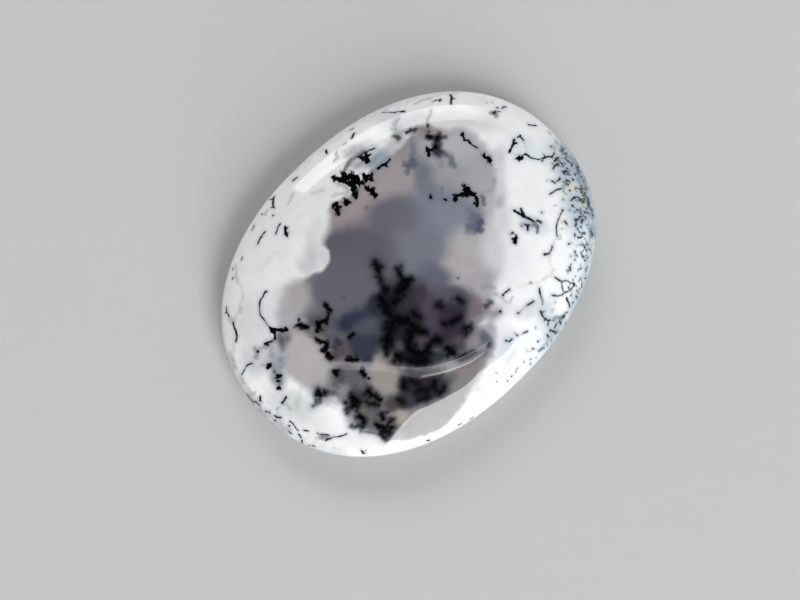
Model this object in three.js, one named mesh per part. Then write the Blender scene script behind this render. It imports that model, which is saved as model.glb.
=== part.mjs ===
// A dendritic opal, cut and polished as one oval cabochon.
//
// Seen from above it is an oval a little fuller than an ellipse. Its face is a low dome with a nearly
// level middle and shoulders that roll over near the edge. A narrow upright girdle runs round it, and
// below the girdle the back curves under to a small flat oval, which the stone rests on.
//
// Millimetres, +Z up. The origin is the middle of the flat oval. +X runs along the stone, +Y across it.

import * as THREE from "three";
import { mergeVertices } from "three/addons/utils/BufferGeometryUtils.js";

// Driving dimensions
const LENGTH = 40.6;
const WIDTH = 30.8;
const HEIGHT = 6.2;
const GIRDLE_LOW = 1.5; // height at which the back ends and the girdle starts
const GIRDLE_HIGH = 1.9; // height at which the girdle ends and the dome starts
const FLAT_SHARE = 0.62; // size of the flat oval, as a share of the outline

// How full the curves are: 2 gives an ellipse, and a higher power a fuller curve
const OUTLINE_POWER = 2.19;
const DOME_POWER_ACROSS = 2.4; // keeps the middle of the dome level
const DOME_POWER_UP = 2.0;

// How finely the curves are divided
const STEPS_ROUND = 80;
const STEPS_DOME = 16;
const STEPS_BACK = 7;

// The stone's section from its axis to its edge, bottom first: x is the share of the way out to the
// outline, from 0 to 1, and y is the height in millimetres.
function section() {
  const points = [new THREE.Vector2(0, 0)];
  const quarter = Math.PI / 2;
  for (let i = 0; i <= STEPS_BACK; i++) {
    const turn = (i / STEPS_BACK) * quarter;
    const out = FLAT_SHARE + (1 - FLAT_SHARE) * Math.sin(turn);
    points.push(new THREE.Vector2(out, GIRDLE_LOW * (1 - Math.cos(turn))));
  }
  for (let i = 0; i < STEPS_DOME; i++) {
    const turn = (i / STEPS_DOME) * quarter;
    const out = Math.cos(turn) ** (2 / DOME_POWER_ACROSS);
    const up = Math.sin(turn) ** (2 / DOME_POWER_UP);
    points.push(new THREE.Vector2(out, GIRDLE_HIGH + (HEIGHT - GIRDLE_HIGH) * up));
  }
  points.push(new THREE.Vector2(0, HEIGHT));
  return points;
}

// How far the outline stands beyond the ellipse in the direction (c, s), the cosine and sine of the turn.
function fullness(c, s) {
  return (Math.abs(c) ** OUTLINE_POWER + Math.abs(s) ** OUTLINE_POWER) ** (-1 / OUTLINE_POWER);
}

// Spreads a round blank of radius 1 out to the oval outline, height kept.
function pressToOutline(geometry) {
  const place = geometry.getAttribute("position");
  for (let i = 0; i < place.count; i++) {
    const x = place.getX(i);
    const y = place.getY(i);
    const out = Math.hypot(x, y);
    if (out === 0) continue;
    const full = fullness(x / out, y / out);
    place.setX(i, (LENGTH / 2) * full * x);
    place.setY(i, (WIDTH / 2) * full * y);
  }
}

// The whole stone: its section turned about the upright axis, then pressed to the outline.
function cabochonGeometry() {
  const turned = new THREE.LatheGeometry(section(), STEPS_ROUND);
  turned.rotateX(Math.PI / 2); // the lathe's own axis is Y
  turned.deleteAttribute("normal");
  turned.deleteAttribute("uv");
  const blank = mergeVertices(turned, 1e-5);
  pressToOutline(blank);
  blank.computeVertexNormals();
  return blank;
}

const opal = new THREE.MeshStandardMaterial({ color: 0xdddce0, roughness: 0.08, metalness: 0 });

const stone = new THREE.Mesh(cabochonGeometry(), opal);
stone.name = "opal_cabochon";

const group = new THREE.Group();
group.add(stone);

export default group;
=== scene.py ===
# %% [markdown]
# # A dendritic opal in Blender
#
# Dendritic opal is a milky white opal with black moss in it. The moss is no plant: water once ran
# through fine cracks and left manganese and iron oxides there, which grew as dendrites, like frost.
# The stone is cut as a cabochon, an oval with a low polished dome above and a flat spot below.
#
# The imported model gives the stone's size and place. This script makes the fine polished surface
# around it, paints the milk, the smoky window and the moss on that surface, and lights it softly.

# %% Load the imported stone
import math
import random

import bpy
import numpy as np
from mathutils import Matrix, Vector, noise


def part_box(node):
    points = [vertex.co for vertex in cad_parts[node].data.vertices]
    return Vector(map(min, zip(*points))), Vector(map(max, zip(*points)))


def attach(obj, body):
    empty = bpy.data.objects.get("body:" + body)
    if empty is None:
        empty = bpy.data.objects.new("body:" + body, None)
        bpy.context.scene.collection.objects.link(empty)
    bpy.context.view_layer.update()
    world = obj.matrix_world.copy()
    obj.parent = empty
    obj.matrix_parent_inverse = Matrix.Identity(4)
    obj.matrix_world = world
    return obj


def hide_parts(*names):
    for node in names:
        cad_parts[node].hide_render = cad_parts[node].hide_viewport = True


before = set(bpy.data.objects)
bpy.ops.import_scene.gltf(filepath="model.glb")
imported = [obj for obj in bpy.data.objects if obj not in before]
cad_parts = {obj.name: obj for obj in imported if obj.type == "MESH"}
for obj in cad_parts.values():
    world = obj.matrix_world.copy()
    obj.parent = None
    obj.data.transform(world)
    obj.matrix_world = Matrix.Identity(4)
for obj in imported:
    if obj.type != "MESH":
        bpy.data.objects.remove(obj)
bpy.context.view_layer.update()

MM = 0.001
low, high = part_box("opal_cabochon")
LENGTH, WIDTH, HEIGHT = (high - low) / MM
print(f"the stone is {LENGTH:.1f} x {WIDTH:.1f} x {HEIGHT:.1f} mm")

# %% [markdown]
# ## The camera
#
# The camera comes first, because the markings are drawn as a viewer sees them, and then cast along
# the camera's rays on to the dome. It looks down steeply, turned so that the long way of the oval
# runs up to the right. One pixel of an 800 x 600 picture is about a tenth of a millimetre.

# %% Set up the camera
TURN = math.radians(-43.6)
ELEVATION = math.radians(82)
LENS_MM = 57.0
SENSOR_MM = 36.0
PICTURE_WIDTH = 800
PICTURE_HEIGHT = 600
PIXELS_PER_MM = 10.04
STONE_PIXEL = (409.4, 270.6)
AIM_HEIGHT = 1.9
NEAR_CLIP_M = 0.01

PICTURE_RIGHT = np.array([math.cos(TURN), math.sin(TURN), 0.0])
PICTURE_AWAY = np.array([-math.sin(TURN), math.cos(TURN), 0.0])
LOOK = PICTURE_AWAY * math.cos(ELEVATION) + np.array([0.0, 0.0, -math.sin(ELEVATION)])
PICTURE_UP = np.cross(PICTURE_RIGHT, LOOK)

focal_pixels = LENS_MM / SENSOR_MM * PICTURE_WIDTH
distance = focal_pixels / PIXELS_PER_MM
aim = np.array([0.0, 0.0, AIM_HEIGHT])
aim_right = (STONE_PIXEL[0] - PICTURE_WIDTH / 2) / PIXELS_PER_MM
aim_up = (PICTURE_HEIGHT / 2 - STONE_PIXEL[1]) / PIXELS_PER_MM
EYE = aim - LOOK * distance - PICTURE_RIGHT * aim_right - PICTURE_UP * aim_up

camera_data = bpy.data.cameras.new("Camera")
camera_data.lens = LENS_MM
camera_data.sensor_width = SENSOR_MM
camera_data.clip_start = NEAR_CLIP_M
camera = bpy.data.objects.new("Camera", camera_data)
axes = np.column_stack([PICTURE_RIGHT, PICTURE_UP, -LOOK])
camera.matrix_world = Matrix.Translation(Vector(EYE * MM)) @ Matrix(axes.tolist()).to_4x4()
bpy.context.scene.collection.objects.link(camera)
bpy.context.scene.camera = camera
print(f"the camera is {distance:.0f} mm away")

# %% [markdown]
# ## The shape of the cabochon
#
# Seen from above the outline is a little fuller than an ellipse: |x|^p + |y|^p = 1, with p just
# over 2. Cut through, it is a dome, a narrow upright girdle, and a rounded back with a flat oval.
# Rings of vertices follow that section. A sphere's grid would crowd at the top and leave a pinch
# in the reflections, so each time the rings have shrunk by half they also get half the vertices.

# %% Section and rings
GIRDLE_LOW = 1.5
GIRDLE_HIGH = 1.9
FLAT_SHARE = 0.62
OUTLINE_POWER = 2.19
DOME_POWER = 2.4
RING_STEP = 0.17
FINE_STEPS = 3000
NOT_ZERO = 1e-12

MEAN_RADIUS = (LENGTH + WIDTH) / 4


def dome_height(share):
    """Height of the dome where the outline has shrunk to this share of the girdle's."""
    rise = np.sqrt(np.clip(1 - share**DOME_POWER, 0, 1))
    return GIRDLE_HIGH + (HEIGHT - GIRDLE_HIGH) * rise


def share_at(x, y):
    """How far out a place is: 0 in the middle, 1 on the girdle."""
    along = np.abs(x / (LENGTH / 2)) ** OUTLINE_POWER
    across = np.abs(y / (WIDTH / 2)) ** OUTLINE_POWER
    return (along + across) ** (1 / OUTLINE_POWER)


def even_steps(share, height):
    """Points along a curve, about RING_STEP apart, both ends included."""
    along = np.hypot(np.diff(share) * MEAN_RADIUS, np.diff(height))
    reach = np.concatenate([[0], np.cumsum(along)])
    stops = np.linspace(0, reach[-1], max(2, round(reach[-1] / RING_STEP) + 1))
    return np.interp(stops, reach, share), np.interp(stops, reach, height)


fine = np.linspace(0, math.pi / 2, FINE_STEPS)
dome = even_steps(
    np.sin(fine) ** (2 / DOME_POWER),
    GIRDLE_HIGH + (HEIGHT - GIRDLE_HIGH) * np.cos(fine),
)
girdle = even_steps(np.array([1.0, 1.0]), np.array([GIRDLE_HIGH, GIRDLE_LOW]))
back = even_steps(
    FLAT_SHARE + (1 - FLAT_SHARE) * np.cos(fine),
    GIRDLE_LOW * (1 - np.sin(fine)),
)
flat = even_steps(np.array([FLAT_SHARE, 0.0]), np.array([0.0, 0.0]))
ring_share = np.concatenate([dome[0][1:], girdle[0][1:], back[0][1:], flat[0][1:-1]])
ring_height = np.concatenate([dome[1][1:], girdle[1][1:], back[1][1:], flat[1][1:-1]])
print(f"{len(ring_share)} rings from the crown to the flat")


# %% Join the rings into one mesh
SPOKES = 640
MOST_HALVINGS = 6


def spokes_of(share):
    """Vertices on a ring: SPOKES on the outer ones, half as many each time it has halved."""
    halvings = min(MOST_HALVINGS, int(-math.log2(share)))
    return SPOKES >> halvings


def ring_points(share, height):
    """One ring, pressed from a circle into the fuller oval."""
    angle = np.linspace(0, 2 * math.pi, spokes_of(share), endpoint=False)
    c, s = np.abs(np.cos(angle)), np.abs(np.sin(angle))
    out = (c**OUTLINE_POWER + s**OUTLINE_POWER) ** (-1 / OUTLINE_POWER)
    x = LENGTH / 2 * share * out * np.cos(angle)
    y = WIDTH / 2 * share * out * np.sin(angle)
    return np.column_stack([x, y, np.full_like(x, height)])


def faces_between(inner, outer, inner_count, outer_count):
    """Faces between two rings, given by the number of their first vertex and their counts."""
    faces = []
    for i in range(inner_count):
        j = (i + 1) % inner_count
        if inner_count == outer_count:
            faces.append((outer + i, outer + j, inner + j, inner + i))
        else:
            a, b, c = 2 * i, 2 * i + 1, (2 * i + 2) % outer_count
            faces.append((outer + a, outer + b, inner + i))
            faces.append((outer + b, inner + j, inner + i))
            faces.append((outer + b, outer + c, inner + j))
    return faces


rings = [ring_points(share, height) for share, height in zip(ring_share, ring_height)]
points = np.vstack([[[0.0, 0.0, HEIGHT]], *rings, [[0.0, 0.0, 0.0]]])
first = 1
faces = [(0, 1 + i, 1 + (i + 1) % len(rings[0])) for i in range(len(rings[0]))]
for ring, following in zip(rings, rings[1:]):
    second = first + len(ring)
    if len(following) >= len(ring):
        faces += faces_between(first, second, len(ring), len(following))
    else:
        turned = faces_between(second, first, len(following), len(ring))
        faces += [face[::-1] for face in turned]
    first = second
last = len(points) - 1
faces += [(last, first + (i + 1) % len(rings[-1]), first + i) for i in range(len(rings[-1]))]
print(f"{len(points)} vertices, {len(faces)} faces")

# %% [markdown]
# ## From the picture to the stone
#
# Every marking is drawn on a sheet that hangs in front of the camera: x to the right and y up, in
# units of ten pixels, which is a millimetre of stone, from a point near the stone's middle. Two
# helpers go between that drawing and the stone. One casts a drawn point on to the dome, the other
# says where in the drawing a vertex lies.

# %% Cast and project
DRAWING_UNIT = 10.0
DRAWING_ORIGIN = (408.0, 273.5)
CASTING_ROUNDS = 40
OUTERMOST_MARK = 0.997

sheet_distance = focal_pixels / DRAWING_UNIT
sheet_right = (DRAWING_ORIGIN[0] - PICTURE_WIDTH / 2) / DRAWING_UNIT
sheet_up = (PICTURE_HEIGHT / 2 - DRAWING_ORIGIN[1]) / DRAWING_UNIT


def cast(drawn):
    """Drawn points (x, y) to points on the dome, in millimetres."""
    drawn = np.asarray(drawn, float).reshape(-1, 2)
    ray = (
        LOOK * sheet_distance
        + np.outer(drawn[:, 0] + sheet_right, PICTURE_RIGHT)
        + np.outer(drawn[:, 1] + sheet_up, PICTURE_UP)
    )
    height = np.full(len(drawn), GIRDLE_HIGH)
    for _ in range(CASTING_ROUNDS):
        place = EYE + ray * ((height - EYE[2]) / ray[:, 2])[:, None]
        share = share_at(place[:, 0], place[:, 1])
        height = (height + dome_height(np.minimum(share, 1))) / 2
    shrink = np.minimum(1, OUTERMOST_MARK / np.maximum(share, NOT_ZERO))
    place[:, :2] *= shrink[:, None]
    place[:, 2] = dome_height(share * shrink)
    return place


def project(places):
    """Points on the stone to drawn points."""
    away = places - EYE
    depth = away @ LOOK
    x = away @ PICTURE_RIGHT * sheet_distance / depth - sheet_right
    y = away @ PICTURE_UP * sheet_distance / depth - sheet_up
    return np.column_stack([x, y])


there_and_back = project(cast([(10.0, -5.0), (-12.0, 4.0)]))
print("drawn points come back as", there_and_back.round(2).tolist())

# %% [markdown]
# ## Painting the ground: milk and a smoky window
#
# Milky opal scatters light, and where it is clearer the eye looks into a smoky grey depth. Both
# are colour and not relief, so each vertex gets a colour. It is mixed as a painter would: first
# the milk, then the window with its own outline, and then soft clouds of grey, blue, pink and
# violet, one over the other. Noise bends every edge a little, because no cloud in a stone is an
# ellipse.

# %% Brushes
SRGB_LINEAR_PART = 0.04045
SRGB_SLOPE = 12.92
SRGB_OFFSET = 0.055
SRGB_POWER = 2.4
NOISE_SEED = 1
NOISE_SHIFT = (17.3, 5.1, 9.7)

# Blender's noise starts from the clock, so without a seed each run would bend the edges anew.
noise.seed_set(NOISE_SEED)


def tone(red, green, blue):
    """A colour as the eye reads it, 0 to 255, to the linear values that shaders use."""
    shown = np.array([red, green, blue]) / 255
    curved = ((shown + SRGB_OFFSET) / (1 + SRGB_OFFSET)) ** SRGB_POWER
    return np.where(shown <= SRGB_LINEAR_PART, shown / SRGB_SLOPE, curved)


def ease(start, end, value):
    """0 before start, 1 after end, and a smooth step between them."""
    t = np.clip((value - start) / (end - start), 0, 1)
    return t * t * (3 - 2 * t)


def noise_at(places, size, layer):
    """Smooth noise vectors, -1 to 1, in lumps about size mm across. Each layer has its own."""
    offset = Vector([layer * shift for shift in NOISE_SHIFT])
    return np.array([noise.noise_vector(Vector(p) / size + offset) for p in places])


def paint(ground, colour, mask):
    """Lays a colour over the ground where the mask lets it."""
    ground += (np.asarray(colour) - ground) * mask[:, None]


def distance_to_line(drawn, line):
    """Distance from drawn points to a line of points, and the number of the nearest piece."""
    nearest = np.full(len(drawn), np.inf)
    piece = np.zeros(len(drawn), int)
    for i, (a, b) in enumerate(zip(line, line[1:])):
        a, b = np.array(a), np.array(b)
        step = b - a
        t = np.clip((drawn - a) @ step / max(step @ step, NOT_ZERO), 0, 1)
        gap = np.linalg.norm(drawn - a - t[:, None] * step, axis=1)
        closer = gap < nearest
        nearest[closer] = gap[closer]
        piece[closer] = i
    return nearest, piece


print(f"a middle grey, 128 of 255, is {tone(128, 128, 128)[0]:.2f} in linear light")

# %% Lay the milk and bend the edges
COARSE_LUMPS = 2.6
FINE_LUMPS = 0.7
COARSE_BEND = 0.5
FINE_BEND = 0.16
MILK = tone(244, 244, 245)
COOLER_MILK = tone(241, 243, 244)
COOLER_FROM, COOLER_TO = -12.0, 12.0
COOLER_SLANT = 0.3

points_drawn = project(points)
coarse_bend = noise_at(points, COARSE_LUMPS, 1)[:, :2]
fine_bend = noise_at(points, FINE_LUMPS, 2)[:, :2]
bent = points_drawn + coarse_bend * COARSE_BEND + fine_bend * FINE_BEND
ground = np.tile(MILK, (len(points), 1))
# The milk turns a trace cooler towards the right.
towards_right = points_drawn[:, 0] - COOLER_SLANT * points_drawn[:, 1]
paint(ground, COOLER_MILK, ease(COOLER_FROM, COOLER_TO, towards_right))
print(f"the drawing covers {np.ptp(points_drawn[:, 0]):.1f} x {np.ptp(points_drawn[:, 1]):.1f} mm")

# %% The window's outline
# Each point is x, y and how soft the edge is there, in millimetres.
WINDOW = [
    (-5.2, 8.2, 0.3), (-5.9, 7.6, 0.3), (-6.8, 7.45, 0.35), (-7.6, 7.3, 0.5), (-8.1, 6.6, 0.7),
    (-8.05, 5.6, 0.8), (-8.1, 4.6, 0.8), (-8.6, 3.4, 0.6), (-8.65, 2.7, 0.4), (-8.3, 2.45, 0.25),
    (-8.02, 2.1, 0.2), (-8.0, 1.6, 0.2), (-8.35, 1.0, 0.3), (-8.85, 0.4, 0.4),
    (-9.8, 0.1, 0.6), (-10.8, -0.65, 1.1), (-12.6, -1.4, 1.4), (-13.1, -3.6, 1.2),
    (-13.0, -5.3, 0.6), (-12.4, -6.3, 0.5), (-12.3, -8.0, 0.6), (-11.9, -9.8, 0.8),
    (-10.6, -11.2, 0.9), (-8.6, -12.6, 0.5), (-7.3, -12.7, 0.4), (-6.7, -13.2, 0.3),
    (-6.2, -14.3, 0.3), (-5.4, -15.15, 0.25), (-4.2, -15.6, 0.2), (-3.0, -15.95, 0.12),
    (-2.3, -16.95, 0.1), (-1.2, -16.85, 0.15), (0.3, -16.6, 0.25), (1.8, -16.3, 0.3),
    (3.0, -15.9, 0.35), (3.9, -15.2, 0.4), (4.6, -14.3, 0.45), (5.2, -13.4, 0.5),
    (5.8, -12.5, 0.6), (6.5, -11.7, 0.7), (7.3, -10.6, 0.7),
    (8.2, -9.4, 0.6), (8.8, -8.4, 0.6), (8.8, -7.0, 0.5), (8.2, -5.9, 0.5), (7.2, -5.2, 0.5),
    (7.9, -4.3, 0.7), (8.6, -3.4, 0.9), (8.9, -2.3, 1.0), (9.1, -1.0, 1.3), (9.6, 0.6, 1.5),
    (9.4, 2.3, 1.4), (8.8, 4.0, 1.2), (8.4, 5.6, 0.9), (8.5, 7.2, 0.9), (8.7, 8.6, 0.6),
    (8.75, 10.2, 0.6), (8.3, 11.6, 0.6), (7.5, 12.7, 0.6), (6.6, 13.7, 0.6), (5.2, 14.4, 0.5),
    (3.4, 14.5, 0.5), (2.2, 14.8, 0.5), (1.2, 14.8, 0.5), (0.4, 14.1, 0.5), (-0.3, 13.2, 0.5),
    (-1.6, 12.5, 0.5), (-3.0, 11.6, 0.4),
    (-3.6, 10.6, 0.3), (-4.0, 10.0, 0.2), (-4.6, 9.3, 0.2),
]
print(f"{len(WINDOW)} points round the window")

# %% Lay the window
WINDOW_GREY = tone(150, 147, 152)


def inside(drawn, outline):
    """True where a drawn point is inside a closed outline, by counting crossings."""
    found = np.zeros(len(drawn), bool)
    for (ax, ay), (bx, by) in zip(outline, outline[1:] + outline[:1]):
        straddles = (ay > drawn[:, 1]) != (by > drawn[:, 1])
        crossing = ax + (drawn[:, 1] - ay) * (bx - ax) / (by - ay + NOT_ZERO)
        found ^= straddles & (drawn[:, 0] < crossing)
    return found


window_corners = [(x, y) for x, y, soft in WINDOW]
window_softness = np.array([soft for x, y, soft in WINDOW])
to_window, window_piece = distance_to_line(bent, window_corners + window_corners[:1])
to_window[inside(bent, window_corners)] *= -1
softness = window_softness[window_piece]
window_mask = 1 - ease(-softness, softness, to_window)
paint(ground, WINDOW_GREY, window_mask)
print(f"the window takes {window_mask.mean():.0%} of the vertices")

# %% Clouds in the upper window
# A cloud is x, y, its two radii, its turn in degrees, how soft its edge is, and its colour.
CLOUDS_UPPER_WINDOW = [
    (5.5, 11.5, 4.4, 3.4, 0, 0.35, (184, 182, 187)), (7.0, 9.0, 2.4, 3.0, 0, 0.5, (168, 167, 171)),
    (3.8, 10.0, 1.8, 1.6, 0, 0.5, (158, 157, 160)), (-1.0, 9.2, 3.2, 2.5, 0, 0.4, (163, 155, 157)),
    (-3.9, 8.3, 2.6, 2.0, 0, 0.5, (166, 158, 159)), (-5.8, 6.4, 2.4, 2.4, 0, 0.45, (160, 149, 151)),
    (1.7, 9.2, 1.0, 2.6, 15, 0.6, (116, 122, 134)), (2.8, 5.4, 4.4, 3.4, 0, 0.35, (122, 127, 140)),
    (4.6, 5.2, 2.2, 2.0, 0, 0.6, (131, 134, 146)), (-1.6, 5.4, 2.6, 2.4, 0, 0.4, (106, 105, 117)),
    (0.9, 2.0, 3.4, 2.6, 0, 0.5, (119, 121, 133)), (-5.2, 1.6, 4.2, 3.4, 0, 0.35, (97, 96, 105)),
    (-7.0, 3.1, 1.3, 1.0, 0, 0.5, (95, 96, 105)), (-5.6, -1.0, 4.4, 2.4, 0, 0.4, (101, 100, 110)),
    (7.3, 1.4, 2.6, 3.0, 0, 0.4, (184, 180, 185)), (6.0, 3.2, 1.9, 1.4, 0, 0.6, (172, 170, 171)),
    (8.7, 3.0, 1.3, 4.0, 0, 0.8, (206, 206, 211)), (5.4, 0.7, 1.6, 1.5, 0, 0.6, (173, 168, 171)),
    (7.5, -1.3, 2.0, 1.6, 0, 0.5, (164, 161, 167)), (2.6, -0.4, 2.0, 1.4, 0, 0.5, (99, 101, 115)),
]
print(f"{len(CLOUDS_UPPER_WINDOW)} clouds in the upper window")

# %% Clouds in the lower window
CLOUDS_LOWER_WINDOW = [
    (-10.2, -2.8, 2.4, 2.0, 15, 0.5, (148, 146, 152)),
    (-9.8, -0.6, 1.3, 1.0, -30, 0.6, (136, 134, 142)), (-7.6, -1.8, 2.3, 2.6, 0, 0.5, (101, 100, 111)),
    (-12.0, -3.6, 1.2, 1.9, 0, 0.6, (180, 179, 184)), (-11.1, -2.6, 1.2, 1.8, 0, 0.8, (172, 168, 171)),
    (-8.7, -5.4, 2.2, 1.7, 0, 0.5, (84, 83, 90)), (-7.6, -5.6, 1.1, 0.9, 0, 0.6, (96, 94, 103)),
    (-4.4, -5.4, 2.8, 2.2, 0, 0.5, (78, 82, 92)), (-5.2, -4.2, 1.6, 0.7, 22, 0.8, (50, 56, 76)),
    (-6.4, -5.0, 0.8, 0.7, 0, 0.8, (44, 50, 70)), (-3.3, -3.2, 0.9, 1.0, 30, 0.7, (34, 37, 50)),
    (-4.4, -7.4, 2.1, 1.3, 0, 0.5, (55, 60, 72)), (-7.1, -7.7, 1.2, 1.2, 0, 0.5, (84, 77, 82)),
    (-10.4, -8.3, 2.2, 3.0, 20, 0.35, (182, 177, 177)),
    (-8.9, -10.5, 1.3, 1.4, 0, 0.5, (173, 170, 171)), (-6.1, -10.6, 1.8, 1.6, 0, 0.4, (98, 95, 98)),
    (-6.4, -11.8, 0.9, 0.6, -10, 0.7, (136, 136, 139)), (-12.4, -6.6, 0.7, 0.7, 0, 0.8, (92, 94, 100)),
    (-3.0, 11.3, 1.0, 0.7, 25, 0.6, (150, 162, 176)), (-11.2, -4.7, 0.8, 0.5, 0, 0.7, (178, 176, 179)),
    (-4.5, -12.5, 1.4, 1.3, 0, 0.5, (76, 74, 78)), (-3.9, -14.3, 1.3, 1.3, 0, 0.5, (110, 105, 104)),
    (3.4, -4.8, 3.8, 2.9, 0, 0.4, (54, 49, 59)), (1.9, -3.0, 1.6, 1.6, 0, 0.5, (80, 73, 82)),
    (4.6, -2.1, 2.0, 0.8, -10, 0.6, (88, 85, 97)), (2.4, -5.3, 0.9, 1.2, 0, 0.6, (74, 68, 77)),
    (6.6, -3.8, 0.8, 1.3, -10, 0.7, (116, 104, 111)), (8.2, -4.3, 0.9, 1.3, 0, 0.7, (138, 134, 140)),
    (5.2, -7.1, 0.8, 0.8, 0, 0.6, (86, 80, 86)), (6.9, -6.7, 1.2, 1.3, 0, 0.5, (136, 132, 134)),
    (6.9, -5.1, 0.7, 0.6, 0, 0.7, (152, 148, 152)), (8.0, -6.5, 0.8, 1.0, 0, 0.6, (92, 95, 106)),
    (7.5, -8.1, 0.5, 0.5, 0, 0.7, (84, 86, 98)), (5.7, -9.9, 2.3, 1.2, 35, 0.5, (128, 122, 125)),
    (-0.9, -3.3, 1.9, 2.9, 8, 0.5, (54, 52, 60)), (-0.7, -5.6, 2.1, 3.2, 0, 0.4, (40, 38, 46)),
    (0.9, -2.0, 0.8, 1.4, 0, 0.6, (62, 58, 68)), (1.2, -6.8, 0.8, 0.6, 0, 0.5, (94, 86, 92)),
    (-0.9, -7.35, 0.5, 0.6, 0, 0.6, (96, 90, 93)), (1.0, -8.6, 2.6, 0.8, 0, 0.5, (28, 26, 32)),
    (3.1, -8.4, 1.0, 0.5, 0, 0.6, (54, 57, 66)), (5.7, -8.3, 1.2, 0.4, 20, 0.6, (35, 33, 38)),
    (1.5, -11.4, 3.0, 1.6, 10, 0.45, (50, 44, 51)), (-2.45, -10.4, 1.45, 2.3, 0, 0.45, (150, 145, 141)),
    (-2.4, -8.75, 1.1, 0.6, 0, 0.6, (158, 151, 146)), (-1.6, -12.9, 1.0, 0.8, 0, 0.6, (80, 74, 73)),
    (1.8, -14.9, 2.6, 1.6, 20, 0.4, (112, 113, 111)), (-1.0, -14.3, 1.0, 0.7, 10, 0.7, (166, 156, 149)),
    (3.4, -13.6, 4.2, 1.5, 42, 0.25, (121, 123, 122)),
]
print(f"{len(CLOUDS_LOWER_WINDOW)} clouds in the lower window")

# %% Clouds in the milk
CLOUDS_IN_MILK = [
    (-12.0, 3.5, 4.0, 5.0, 0, 0.8, (240, 241, 242)), (-9.6, -14.9, 3.2, 1.5, -28, 0.8, (230, 232, 231)),
    (-15.3, -8.8, 1.2, 1.3, 0, 0.8, (196, 198, 201)), (-10.6, 0.8, 0.8, 0.7, -30, 0.8, (208, 208, 212)),
    (-5.3, 10.9, 0.7, 0.5, 30, 0.7, (200, 204, 207)), (8.9, 11.2, 0.6, 1.3, 0, 0.8, (206, 206, 210)),
    (9.4, 4.7, 0.9, 1.7, 0, 0.8, (206, 207, 212)), (2.4, 15.2, 6.0, 1.0, -4, 0.7, (216, 218, 220)),
    (-0.2, 14.9, 2.0, 0.9, 20, 0.7, (205, 209, 212)), (-5.2, 12.4, 1.6, 0.7, 20, 0.8, (186, 188, 190)),
    (-1.6, 12.8, 1.7, 0.5, 28, 0.6, (205, 200, 202)), (-9.8, 7.6, 2.0, 0.5, 20, 0.9, (240, 240, 241)),
    (-13.2, -8.2, 1.2, 1.9, 10, 0.7, (152, 159, 165)), (-12.8, -6.6, 0.9, 0.9, 0, 0.7, (46, 49, 56)),
    (-14.3, -7.2, 0.9, 0.8, 0, 0.8, (152, 157, 162)), (-12.8, -10.3, 0.7, 1.1, 0, 0.8, (154, 159, 164)),
    (-11.6, -13.4, 2.4, 1.2, -30, 0.8, (206, 210, 211)),
    (12.4, 4.8, 1.2, 0.8, -20, 0.8, (200, 208, 214)), (11.4, 12.6, 1.0, 1.0, 0, 0.8, (214, 222, 226)),
    (-5.0, -17.0, 6.0, 1.2, 0, 0.7, (226, 227, 227)), (-3.1, 11.5, 1.2, 0.8, 25, 0.6, (144, 158, 173)),
    (11.0, 13.2, 0.8, 0.8, 0, 0.7, (222, 230, 234)), (12.6, 12.3, 1.4, 0.8, 0, 0.7, (226, 233, 237)),
    (12.0, -3.4, 1.6, 1.0, 30, 0.7, (214, 215, 216)), (13.8, -3.9, 1.0, 1.4, 0, 0.7, (206, 213, 218)),
    (14.4, -1.9, 1.0, 0.9, 0, 0.7, (236, 242, 244)), (14.6, -5.8, 0.9, 2.0, -40, 0.7, (184, 194, 201)),
    (9.4, -3.0, 1.0, 1.0, 0, 0.7, (200, 204, 209)), (9.0, -5.0, 0.9, 1.6, 0, 0.7, (228, 230, 232)),
    (-9.2, 3.8, 0.8, 1.8, 0, 0.8, (226, 226, 229)), (-9.8, 1.6, 0.8, 1.4, 0, 0.8, (206, 207, 210)),
    (-8.5, 1.6, 0.5, 0.7, 0, 0.7, (214, 215, 217)), (-15.0, -5.2, 2.2, 3.2, 0, 0.7, (224, 224, 226)),
    (-6.9, 8.4, 1.2, 0.8, 0, 0.6, (232, 236, 238)), (-8.4, -16.3, 0.6, 0.26, 0, 0.6, (140, 147, 152)),
    (9.6, -7.6, 1.0, 1.6, -20, 0.7, (208, 215, 224)), (10.4, 0.6, 1.6, 3.0, 0, 0.8, (234, 234, 237)),
    (9.0, 8.0, 0.8, 2.0, 0, 0.7, (204, 208, 214)), (16.1, 10.6, 1.4, 2.8, 32, 0.7, (180, 195, 205)),
    (17.3, 6.3, 1.4, 2.8, 10, 0.7, (188, 202, 212)), (17.7, 2.0, 1.2, 2.8, -5, 0.7, (228, 236, 241)),
    (17.1, -2.7, 0.75, 2.6, -18, 0.7, (158, 169, 178)), (16.2, 8.7, 0.4, 0.35, 0, 0.8, (226, 220, 204)),
    (17.3, 8.4, 0.3, 0.4, 0, 0.8, (214, 208, 194)), (17.5, 7.4, 0.3, 0.35, 0, 0.8, (214, 208, 194)),
    (8.8, 7.3, 0.6, 0.7, 0, 0.8, (164, 167, 176)), (8.4, -4.0, 0.9, 0.8, 0, 0.7, (150, 148, 154)),
    (8.2, -6.1, 0.6, 1.2, 0, 0.8, (136, 138, 147)), (6.9, -11.5, 0.9, 0.7, 30, 0.8, (178, 182, 185)),
]
print(f"{len(CLOUDS_IN_MILK)} clouds in the milk")


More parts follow.
